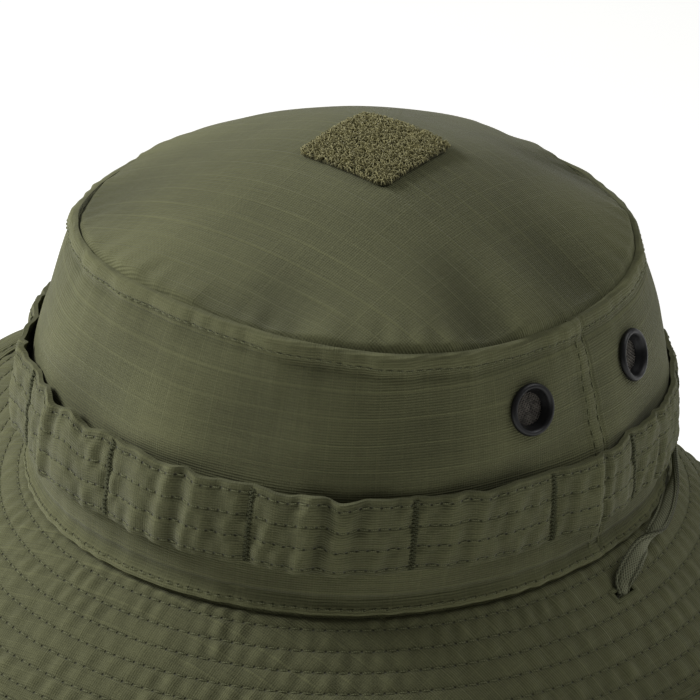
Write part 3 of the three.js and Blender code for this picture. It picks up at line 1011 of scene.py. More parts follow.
# ---------- studio ----------
@dataclass
class Studio:
    """A pale floor, soft light from the upper left, and the camera."""

    azimuth: float = 38.844
    elevation: float = 29.347
    distance: float = 2.6174
    lens: float = 461.01
    target: tuple[float, float, float] = (0.0, 0.0, 0.040)
    shift: tuple[float, float] = (0.00416, -0.00944)
    floor_level: float = -0.262
    floor_size: float = 30.0

    def back(self) -> Array:
        """The direction from the target to the camera."""
        a, e = math.radians(self.azimuth), math.radians(self.elevation)
        return np.array([math.sin(a) * math.cos(e), -math.cos(a) * math.cos(e), math.sin(e)])

    def camera(self) -> None:
        """Places the camera and makes it the scene's."""
        data = bpy.data.cameras.new("camera")
        data.lens, data.sensor_width = self.lens, 36.0
        data.shift_x, data.shift_y = self.shift
        data.clip_end = 50.0
        seat = bpy.data.objects.new("camera", data)
        seat.location = Vector(self.target) + Vector(self.back()) * self.distance
        seat.rotation_euler = Vector(self.back()).to_track_quat("Z", "Y").to_euler()
        bpy.context.collection.objects.link(seat)
        bpy.context.scene.camera = seat

    def light(self, name: str, left: float, front: float, up: float, size: float, power: float) -> None:
        """Hangs a square softbox that faces the hat.

        Args:
            name: The light's name.
            left: Metres to the camera's left of the hat.
            front: Metres towards the camera, on the level.
            up: Metres above the hat.
            size: Side of the square.
            power: Watts.
        """
        a = math.radians(self.azimuth)
        data = bpy.data.lights.new(name, "AREA")
        data.shape, data.size, data.energy = "SQUARE", size, power
        lamp = bpy.data.objects.new(name, data)
        x = -left * math.cos(a) + front * math.sin(a)
        y = -left * math.sin(a) - front * math.cos(a)
        place = Vector((x, y, up))
        lamp.location = place
        lamp.rotation_euler = (place - Vector((0, 0, 0.04))).to_track_quat("Z", "Y").to_euler()
        bpy.context.collection.objects.link(lamp)

    def build(self) -> None:
        """Builds the camera, the lights, the world and the floor."""
        self.camera()
        self.light("key_softbox", 1.1, -0.3, 0.76, 0.6, 19.0)
        self.light("fill_softbox", -1.0, -0.25, 1.05, 1.0, 6.5)
        world = bpy.data.worlds.new("studio_air")
        world.use_nodes = True
        world.node_tree.nodes["Background"].inputs["Color"].default_value = (1, 1, 1, 1)
        world.node_tree.nodes["Background"].inputs["Strength"].default_value = 0.12
        bpy.context.scene.world = world
        bpy.context.scene.view_settings.view_transform = "Standard"
        half = self.floor_size / 2
        mesh = bpy.data.meshes.new("studio_floor")
        mesh.from_pydata([(-half, -half, self.floor_level), (half, -half, self.floor_level),
                          (half, half, self.floor_level), (-half, half, self.floor_level)], [],
                         [(0, 1, 2, 3)])
        floor = bpy.data.objects.new("studio_floor", mesh)
        paper = Board("pale_paper", Roughness=0.95, Specular_IOR_Level=0.0, Base_Color=linear("#efefed"),
                      Emission_Color=linear("#f4f4f2"), Emission_Strength=0.5)
        mesh.materials.append(paper.material)
        bpy.context.collection.objects.link(floor)


# ---------- chin strap ----------
@dataclass
class ChinStrap:
    """A flat braid: out of one slit, round the crown to the other, and two drops to a knot."""

    width: float = 5.5
    thick: float = 1.4
    lock_width: float = 4.1
    ribs: int = 5
    plane: float = 1.8
    spread: float = 1.75
    slits: tuple[float, float] = (100.8, -103.2)
    rear_length: float = 0.345
    drop_length: float = 0.26
    rear_run: tuple[tuple[float, float, float], ...] = (
        (100.8, 1.8, -11.6), (100.8, 1.8, -8), (100.6, 2.4, -4), (99.8, 7, -1.2), (97.2, 15, 0),
        (95.4, 22.5, 0.2),
        (91.8, 32.5, 0.2), (86.6, 42.4, 0.2), (76.6, 58.6, 0), (62.6, 74.6, -0.4), (46.5, 87.6, -1.0),
        (25, 97.2, -1.6), (0, 100.2, -1.8), (-25, 97.2, -1.6), (-46.5, 87.6, -1.0), (-62.6, 74.6, -0.4),
        (-76.6, 58.6, 0.6), (-86.8, 42.4, 1.6), (-92.4, 32.5, 2.4), (-96.8, 22.5, 3.0), (-99.6, 15, 3.2),
        (-102.2, 7, 2.6), (-103.2, 2.4, 0), (-103.2, 1.8, -4), (-103.2, 1.8, -11.6))
    drop_levels: tuple[float, ...] = (
        -12.0, -19, -25, -34, -46, -61, -77, -93.5, -109, -123, -135.5, -146, -155, -163, -172, -185, -198,
        -212,
        -224, -233)
    drop_shares: tuple[float, ...] = (
        1, 0.997, 0.978, 0.922, 0.832, 0.717, 0.592, 0.462, 0.337, 0.222, 0.128, 0.06, 0.022, 0.004, 0, 0,
        0, 0, 0, 0)

    def section(self, width: Array) -> Array:
        """Ribbed bar sections of each width, about as thick as keeps the braid's area.

        Thickness is modulated by 1 + 0.27 cos(2 pi ribs x / width) on the two faces.

        Args:
            width: Width at each ring.

        Returns:
            Sections, (rings, points, 2).
        """
        bar = oval(1.0, 1.0, 60, 0.42)
        rib = 1 + 0.27 * np.cos(2 * math.pi * self.ribs * bar[:, 0]) * (np.abs(bar[:, 0]) < 0.47)
        thick = self.thick * (self.width / width) ** 0.7
        return np.stack([bar[:, 0] * width[:, None], bar[:, 1] * rib * thick[:, None]], -1)

    def rear(self) -> tuple[Object, Array]:
        """The run round the back of the crown, with a half twist above each slit.

        Returns:
            The strap and its centreline.
        """
        path = spline(np.array(self.rear_run, float), 400)
        run = arc_length(path)
        off = np.minimum(run, run[-1] - run)
        along = unit(np.gradient(path, axis=0))
        outlook = np.stack([0.55 * np.sign(path[:, 0]), -0.68 + 0 * run, 0.49 + 0 * run], -1)
        flat_on = unit(np.cross(along, outlook))
        turn = (0.82 * math.pi * smooth(off, 17, 36))[:, None]
        wide = flat_on * np.cos(turn) + np.cross(along, flat_on) * np.sin(turn)
        for half in (path[:, 0] > 0, path[:, 0] <= 0):
            wide[half] *= np.sign(wide[half][np.abs(off[half] - 60).argmin(), 2])
        across = np.stack([0 * run, np.sign(wide[:, 1]), 0 * run], -1)
        seat, lie = smooth(off, 3, 9)[:, None], smooth(off, 45, 75)[:, None]
        wide = across * (1 - seat) + wide * seat
        wide = wide * (1 - lie) + np.array([0.0, 0.0, 1.0]) * lie
        width = self.width * (1 + 0.16 * bell(off - 12, 5) - 0.22 * bell(off - 3.5, 3.5))
        return swept("chin_strap_rear_braid", path, wide, self.section(width)), path

    def drop(self, side: Side) -> tuple[Object, Array]:
        """One drop, in a long V from its slit, through the cord lock, to the knot.

        Args:
            side: Which drop.

        Returns:
            The strap and its centreline.
        """
        slit = abs(self.slits[0 if side is Side.LEFT else 1])
        share, level = np.array(self.drop_shares), np.array(self.drop_levels)
        x = side.value * (self.spread + (slit - self.spread) * share)
        path = spline(np.stack([x, np.full_like(x, self.plane), level], -1), 300)
        narrow = smooth(-path[:, 2], 128, 158)
        width = self.width + (self.lock_width - self.width) * narrow
        wide = np.tile([0.0, 1.0, 0.0], (len(path), 1))
        return swept(f"chin_strap_{side.name.lower()}_braid", path, wide, self.section(width)), path

    def knot(self) -> Object:
        """The overhand knot that joins the two ends.

        A trefoil: x = sin t + 2 sin 2t, z = cos t - 2 cos 2t, y = -sin 3t, scaled to the knot.

        Returns:
            The knot.
        """
        t = circle(150)
        loop = np.stack([1.2 * (np.sin(t) + 2 * np.sin(2 * t)), -1.75 * np.sin(3 * t),
                         1.3 * (np.cos(t) - 2 * np.cos(2 * t))], -1)
        centre = middle("strap_end_knot") + [0, 0, 0.6]
        wide = unit(loop * [1, 0.2, 1] + 1e-6)
        bar = oval(1.0, 1.0, 28, 0.6)
        section = bar * [3.3, 2.3]
        return swept("strap_end_knot_braid", centre + loop, np.cross(wide, [0, 1, 0]) + [0, 0.9, 0], section,
                     closed=True)

    def tip(self, side: Side) -> Object:
        """One short tail below the knot, its end heat-sealed square.

        Args:
            side: Which tail.

        Returns:
            The tail.
        """
        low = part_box("strap_end_knot")[0][2] / MM
        t = np.linspace(0, 1, 14)[:, None]
        start = np.array([1.0 * side.value, self.plane, low + 2.5])
        end = np.array([2.6 * side.value, self.plane, low - 5.0])
        path = start + (end - start) * t + np.array([0.6 * side.value, 0, 0]) * np.sin(math.pi * t)
        wide = np.tile([0.0, 1.0, 0.15], (len(path), 1))
        width = self.lock_width * (1 - 0.22 * smooth(t[:, 0], 0.85, 1.0))
        return swept(f"strap_tail_{side.name.lower()}", path, wide, self.section(width))

    def build(self) -> None:
        """Builds the strap and declares its cords; the drops ride on no body."""
        braid = StrapBraid().make()
        piece, path = self.rear()
        declare(piece, Body.HAT, "strap_braid", braid, "chin_strap_rear")
        knot = self.knot()
        declare(knot, Body.CHIN_LOOP, "strap_braid", braid, "strap_end_knot")
        tips = [self.tip(side) for side in Side]
        for tail in tips:
            declare(tail, Body.CHIN_LOOP, "strap_braid", braid)
        for side in Side:
            piece, path = self.drop(side)
            declare(piece, None, "strap_braid", braid, f"chin_strap_{side.name.lower()}")
            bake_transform(piece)


# ---------- crown ----------
@dataclass
class Crown:
    """Two side panels with lapped seams, the top, the sweatband and its label."""

    form: HatForm
    cloth: float = 0.7
    welt: float = 1.05
    base_row: float = 2.7
    top_row: float = 4.3
    lap: float = 2.9
    lap_row: float = 2.1
    pitch: float = 3.2
    seam_heading: float = 90.0
    vent_headings: tuple[float, ...] = (74, 106, 254, 286)
    vent_height: float = 58.5
    hole: float = 5.9
    drapes: tuple[tuple[float, float, float, float], ...] = (
        (18, 9, -0.6, 0.55), (-22, 13, 0.9, 0.45), (44, 15, 0.5, 0.4), (66, 6, -0.8, 0.55), (80, 6, 0.7, 0.6),
        (100, 9, -1.1, 0.5), (-60, 11, -0.9, 0.5), (-95, 12, 0.8, 0.5), (130, 12, 0.9, 0.5),
        (155, 8, -1.0, 0.5),
        (190, 12, 0.8, 0.5), (225, 10, -1.0, 0.5))

    def seam_arc(self, heading: Array) -> Array:
        """Millimetres round the crown from the nearer side seam, towards the rear."""
        folded = np.abs((heading + 180) % 360 - 180)
        return np.radians(folded - self.seam_heading) * SEAM_RADIUS

    def relief(self, heading: Array, height: Array) -> Array:
        """How far the side cloth stands off its form.

        Welts of turned seam allowance at both seams, a furrow at each stitch row, gathers
        that fade away from the seams, and broad soft folds, smoothed out round the vents.

        Args:
            heading: Degrees from the front.
            height: Millimetres above the brim seam.

        Returns:
            Millimetres outwards.
        """
        drop = self.form.wall_height(heading) - height
        gather = ring_folds(heading, height, 11, (38, 74), 60)
        tuck = ring_folds(heading, height, 12, (46, 90), 50)
        pinch = ring_folds(heading, height, 18, (11, 30), 44)
        broad = ring_folds(heading, height, 13, (3, 11), 46)
        level = ring_folds(heading, height, 14, (1, 4), 17)
        sag = ring_folds(heading, height, 17, (2, 8), 13) * plateau(height, 26, 52, 9)
        soft = 0.6 * broad + 0.3 * level * plateau(height, 4, 30, 8) + 0.5 * sag
        fade = np.exp(-np.maximum(drop - 4, 0) / 10)
        soft += 0.2 * gather * np.exp(-np.maximum(height - 3, 0) / 7) + (0.22 * tuck + 0.45 * pinch) * fade
        arc = self.seam_arc(heading)
        soft += 0.3 * bell(arc, 9) * ring_folds(heading, height, 15, (2, 6), 9)
        for vent in self.vent_headings:
            away = np.hypot(((heading - vent + 540) % 360 - 180) * 1.62, height - self.vent_height)
            soft *= 1 - bell(away, 11) * 0.95
            soft -= 0.3 * bell(away, 9.5)
        welt = self.welt * (1.5 * plateau(height, 0.1, 3.7, 0.9) + plateau(drop, 0.15, 5.2, 0.8))
        welt *= 1 + 0.1 * ring_folds(heading, height, 16, (50, 100), 300)
        furrow = bell(height - self.base_row, 0.55) + bell(drop - self.top_row, 0.55)
        off_seam = np.abs(arc)
        fell = 0.5 * plateau(off_seam, -9, self.lap + 0.6, 0.8) - 0.28 * bell(off_seam - self.lap_row, 0.5)
        crease = 0.8 * bell(height - 5.5, 1.2) + 0.4 * bell(drop - 6.8, 1.0) + 1.0 * bell(drop, 0.45)
        crease += 1.0 * bell(height, 0.5)
        return soft + welt - 0.4 * furrow + fell - crease

    def face(self, heading: Array, height: Array, lift: Array | float) -> Array:
        """Points on, or lifted off, the outside of the side cloth."""
        return self.form.wall(heading, height, self.relief(heading, height) + lift)

    def panel(self, name: str, start: float, end: float, under: bool) -> Object:
        """One side panel; at its ends it laps over, or under, the other one.

        Args:
            name: The piece's name.
            start: Heading where it starts.
            end: Heading where it ends.
            under: Whether its ends lie under the other panel's.

        Returns:
            The panel.
        """
        extra = math.degrees(self.lap / SEAM_RADIUS)
        headings = np.linspace(start - extra, end + extra, 350)
        low = through([-0.7, self.base_row, 8.0], 0.55)
        high = through([0.5, self.top_row, 10.0], 0.55)[::-1]
        tall = self.form.wall_height(headings)[:, None]
        share = np.linspace(0, 1, 62)[None, 1:-1]
        height = np.hstack([low[None] + 0 * tall, 8.0 + (tall - 18.0) * share, tall - high[None]])
        heading = np.broadcast_to(headings[:, None], height.shape)
        arc = self.seam_arc(heading)
        relief = self.relief(heading, height)
        sunk = 0.85 * (1 - smooth(np.abs(arc), self.lap - 0.3, self.lap + 1.2)) if under else 0.0
        front = self.form.wall(heading, height, relief - sunk)
        back = self.form.wall(heading, height, 0.3 * relief - self.cloth - sunk - 0.1)
        round_ = arc_length(self.form.wall(headings, 40 + 0 * headings, 0 * headings))
        weave = np.stack([round_[:, None] + 0 * height, height], -1)
        drop = tall - height
        rows = np.stack([round_[:, None] / self.pitch + 0 * height,
                         np.minimum(np.abs(height - self.base_row), np.abs(drop - self.top_row))], -1)
        near_lap = np.abs(np.abs(arc) - self.lap_row)
        rows[..., 0] = np.where(near_lap < rows[..., 1], height / self.pitch, rows[..., 0])
        rows[..., 1] = np.minimum(rows[..., 1], near_lap + 0.25)
        cell_heading, cell_height = heading[:-1, :-1], height[:-1, :-1] + 0.45
        keep = np.ones(cell_heading.shape, bool)
        for node in VENT_NODES:
            centre = middle(f"vent_screen_{node}")
            at = self.form.wall(cell_heading, cell_height, 0 * cell_height)
            keep &= np.linalg.norm(at - centre, axis=-1) > self.hole + 0.3
        cloth = Cloth(front, back, weave, rows, relief, ring=False, keep=keep)
        return cloth.build(name)

    def top(self) -> Object:
        """The top: the dome with radial drapes, gathers at its seam, and a rim that turns in.

        Returns:
            The top.
        """
        headings = np.linspace(0, 360, 480, endpoint=False)
        reach = np.concatenate([np.linspace(0, 0.9, 46), np.linspace(0.9, 1.0, 15)[1:]])
        heading, out = mesh_grid(headings, reach)
        base = self.form.dome(heading, out)
        away = np.linalg.norm(base[..., :2] - self.form.apex, axis=-1)
        base[..., 2] += self.form.patch_lift * (1 - smooth(away, 16, 52))
        relief = 0.35 * ring_folds(heading, out * 80, 21, (2, 7), 60) * smooth(out, 0.2, 0.7)
        for at, width, height, start in self.drapes:
            away = (heading - at + 540) % 360 - 180
            spread = width * (1.6 - 0.6 * out)
            edge = 1 - 0.35 * smooth(out, 0.94, 1)
            relief += 1.7 * height * bell(away, spread) * smooth(out, start, 0.92) * edge
        gather = ring_folds(heading, out * 80, 22, (34, 70), 70)
        pinch = ring_folds(heading, out * 80, 23, (10, 28), 60)
        relief += (0.25 * gather + 0.5 * pinch) * smooth(out, 0.82, 0.985)
        rim = smooth(out, 0.965, 1.0)
        normal = normals(base + [0, 0, 1e-9], True)
        normal *= np.sign(normal[..., 2:])
        normal[:, 0] = [0, 0, 1]
        inward = self.form.outward(heading) * (0.55 * rim[..., None])
        front = base + normal * (relief * (1 - 0.6 * rim))[..., None] - inward
        front[..., 2] -= 1.5 * rim**2
        back = front - normal * self.cloth
        back[..., 2] -= 0.4 * rim
        wide = np.append(headings, 360.0)[:, None] + 0 * reach[None]
        plan = self.form.dome(wide, np.broadcast_to(reach[None], wide.shape))
        return Cloth(front, back, plan[..., :2], None, relief).build("crown_top_cloth", weld=True)

    def row(self, headings: Array, height: Array) -> tuple[Array, Array, Array]:
        """Stitch starts, ends and up directions along headings, at a height for each.

        Args:
            headings: Edges of the stitches, one more than there are stitches.
            height: Height above the brim seam at each edge.

        Returns:
            Starts, ends and directions.
        """
        gap = 0.12
        step, rise = np.diff(headings), np.diff(height)
        first, last = headings[:-1] + step * gap, headings[1:] - step * gap
        low, high = height[:-1] + rise * gap, height[1:] - rise * gap
        return self.face(first, low, 0.05), self.face(last, high, 0.05), self.form.outward(first)

    def threads(self) -> Object:
        """Topstitching: one row on each welt, and two on each side seam's lap.

        Returns:
            The thread.
        """
        count = round(585 / self.pitch)
        ring = np.linspace(0, 360, count + 1)
        tall = self.form.wall_height(ring)
        parts = [self.row(ring, self.base_row + 0 * ring), self.row(ring, tall - self.top_row)]
        for seam in (self.seam_heading, 360 - self.seam_heading):
            for sense in (-1, 1):
                top = self.form.wall_height(np.array([seam]))[0] - self.top_row - 1
                height = np.linspace(self.base_row + 1.2, top, round((top - 4) / self.pitch) + 1)
                beside = seam + sense * math.degrees(self.lap_row / SEAM_RADIUS)
                parts.append(self.row(beside + 0 * height, height))
        starts, ends, ups = (np.concatenate([p[k] for p in parts]) for k in range(3))
        return stitches("crown_topstitching", starts, ends, ups, 0.2, 0.22)

    def liner(self, name: str, headings: Array, ring: bool, foot: float, height: float, depth: float,
              thick: float, seed: int) -> Cloth:
        """A strip inside the crown, with hemmed edges and slight waves.

        Args:
            name: Its stitch pattern's name, for the log.
            headings: Its headings.
            ring: Whether it goes all round.
            foot: Height of its lower edge above the brim seam.
            height: Its width.
            depth: How far inside the crown's form its outer face lies.
            thick: Its thickness.
            seed: Seed of its waves.

        Returns:
            The strip.
        """
        across = through([0.0, 1.6, height - 1.6, height], 0.9)
        heading, up = mesh_grid(headings, across)
        wave = 0.22 * ring_folds(heading, up, seed, (20, 44), 60)
        wave = wave * smooth(up, 0, 6) * smooth(height - up, 0, 6)
        hem = 0.25 * (bell(up - 1.6, 0.7) + bell(up - height + 1.6, 0.7))
        inner = self.form.wall(heading, foot + up, -depth - thick + hem + wave)
        outer = self.form.wall(heading, foot + up, -depth + wave * 0.5)
        wide = np.append(headings, headings[0] + 360) if ring else headings
        round_ = np.radians(wide) * 91.0
        weave = np.stack(np.broadcast_arrays(round_[:, None], across[None]), -1)
        near = np.minimum(np.abs(across - 1.6), np.abs(across - height + 1.6))
        rows = np.stack(np.broadcast_arrays(round_[:, None] / self.pitch, near[None]), -1)
        LOG.info("%s: %d by %d cells", name, len(headings), len(across) - 1)
        return Cloth(inner, outer, weave, rows, wave, ring=ring)

    def build(self, cloth: Material, thread: Material) -> None:
        """Args:
            cloth: The shell cloth.
            thread: The sewing thread.
        """
        s = self.seam_heading
        threads = self.threads()
        for end, panel in (("front", self.panel("crown_side_front_cloth", -s, s, False)),
                           ("rear", self.panel("crown_side_rear_cloth", s, 360 - s, True))):
            declare(panel, Body.HAT, "ripstop_cloth", cloth, f"crown_side_{end}")
        top = self.top()
        declare(top, Body.HAT, "ripstop_cloth", cloth, "crown_tip")
        declare(threads, Body.HAT, "ripstop_cloth", thread)
        ring = np.linspace(0, 360, 420, endpoint=False)
        band = self.liner("sweatband", ring, True, -1.0, 29.0, 1.85, 1.0, 31).build("sweatband_twill")
        twill = WovenCloth("sweatband_twill", "#55583f", "#3d3f2c", Weave.PLAIN, pitch=1.0,
                           stitch=self.pitch).make()
        declare(band, Body.HAT, "sweatband_cloth", twill, "sweatband")
        span = np.linspace(180 - 9, 180 + 9, 46)
        label = self.liner("label", span, False, 5.0, 18.0, 3.45, 0.5, 32).build("size_label_satin")
        satin = WovenCloth("label_satin", "#33352a", "#22231b", Weave.PLAIN, pitch=0.5, stitch=2.4,
                           bump=0.03).make()
        declare(label, Body.HAT, "label_satin", satin, "size_label")


VENT_NODES = [f"{end}_{side.name.lower()}" for side in Side for end in ("front", "rear")]


@dataclass
class Vents:
    """Four painted eyelets, each with a washer inside, a woven wire screen and a gauze."""

    form: HatForm
    bore: float = 4.75
    flange: float = 7.75
    level: float = 0.738
    headings: tuple[float, float] = (74, 106)
    wire: float = 0.13
    mesh: float = 0.62

    def axis(self, node: str) -> Array:
        """The direction out of the crown at a vent, square to its form.

        Args:
            node: Such as front_left.

        Returns:
            The direction.
        """
        end, side = node.split("_")
        heading = self.headings[0 if end == "front" else 1]
        h = np.array([heading if side == "left" else 360 - heading])
        height = self.form.wall_height(h) * self.level
        flat = np.zeros(1)
        along = self.form.wall(h + 0.5, self.form.wall_height(h + 0.5) * self.level, flat) - self.form.wall(
            h - 0.5, self.form.wall_height(h - 0.5) * self.level, flat)
        up = self.form.wall(h, height + 0.8, flat) - self.form.wall(h, height - 0.8, flat)
        return unit(np.cross(along, up))[0]

    def eyelet(self, node: str, seat: Array, axis: Array) -> Object:
        """The eyelet: barrel, sloping throat, rolled rim, and an edge turned down on the cloth.

        Args:
            node: Such as front_left.
            seat: Where the vent's axis meets the crown's form.
            axis: The vent's direction.

        Returns:
            The eyelet.
        """
        b, f = self.bore, self.flange
        profile = rounded([(b, -3.6), (b, -1.25), (b + 0.75, 0.2), (b + 1.2, 1.3), (f - 1.3, 1.85),
                           (f - 0.5, 1.75),
                           (f - 0.05, 1.15), (f, 0.4), (f - 0.3, 0.1), (b + 1.0, 0.1), (b + 0.6, -1.1),
                           (b + 0.6, -3.1), (6.7, -3.2), (6.7, -3.6), (b + 0.9, -3.75), (b, -3.6)], 0.3)[:-1]
        return turned(f"vent_eyelet_{node}_brass", profile, seat, axis, 72)

    def screen(self, node: str, seat: Array, axis: Array) -> Object:
        """Woven wire cloth: straight runs of wire that pass over and under each other.

        Each wire's height is a sine of its length with a period of two meshes, and
        neighbours are half a period apart.

        Args:
            node: Such as front_left.
            seat: Where the vent's axis meets the crown's form.
            axis: The vent's direction.

        Returns:
            The screen.
        """
        radius, sides = self.bore + 0.25, 5
        u = unit(np.cross([0, 0, 1.0], axis))
        v = np.cross(axis, u)
        half = math.floor(radius / self.mesh)
        line = np.arange(-half, half + 1) * self.mesh
        t = np.linspace(-1, 1, 61)
        turn = circle(sides)
        points, count = [], len(line)
        for a, b, shift in ((u, v, 0.0), (v, u, math.pi)):
            reach = np.sqrt(np.maximum(radius**2 - line**2, 0.04))
            run = reach[:, None] * t
            rise = self.wire * np.sin(math.pi * run / self.mesh + math.pi * np.arange(count)[:, None] + shift)
            rings = (run[..., None, None] * a + (line[:, None, None] + self.wire * np.cos(turn))[..., None]
                     * b
                     + (rise[..., None] + self.wire * np.sin(turn))[..., None] * axis)
            size = np.ones(len(t))
            mid = rings.mean(2, keepdims=True)
            size[[0, -1]] = 0
            points.append(mid + (rings - mid) * size[None, :, None, None])
        wires = np.concatenate(points)
        if np.dot(np.cross(u, v), axis) > 0:
            wires[count:] = wires[count:, :, ::-1]
        cell = grid_faces(len(t), sides, ring_cols=True)
        faces = (cell[None] + (np.arange(len(wires)) * len(t) * sides)[:, None, None]).reshape(-1, 4)
        return put_mesh(f"vent_screen_{node}_wire", wires.reshape(-1, 3) + seat - axis * 1.45, faces,
                        weld=True)

    def build(self) -> None:
        brass, wire = PaintedBrass().make(), WireScreen().make()
        backing = WireScreen("gauze_backing", "#5f5a53", "#3f3c37").make()
        for node in VENT_NODES:
            axis = self.axis(node)
            seat = middle(f"vent_screen_{node}") + axis * 1.45
            declare(self.eyelet(node, seat, axis), Body.HAT, "painted_eyelet", brass, f"vent_eyelet_{node}")
            ring = rounded([(5.95, -1.95), (7.3, -1.95), (7.8, -2.3), (7.8, -2.85), (5.95, -2.85),
                            (5.95, -1.95)], 0.2)
            washer = turned(f"vent_washer_{node}_brass", ring[:-1], seat, axis, 64)
            declare(washer, Body.HAT, "painted_eyelet", brass, f"vent_washer_{node}")
            declare(self.screen(node, seat, axis), Body.HAT, "vent_mesh", wire, f"vent_screen_{node}")
            disc = np.array([(0.0, -2.1), (self.bore, -2.1), (self.bore, -1.8), (0.0, -1.8)])
            gauze = turned(f"vent_gauze_{node}", disc, seat, axis, 40)
            declare(gauze, Body.HAT, "vent_mesh", backing)


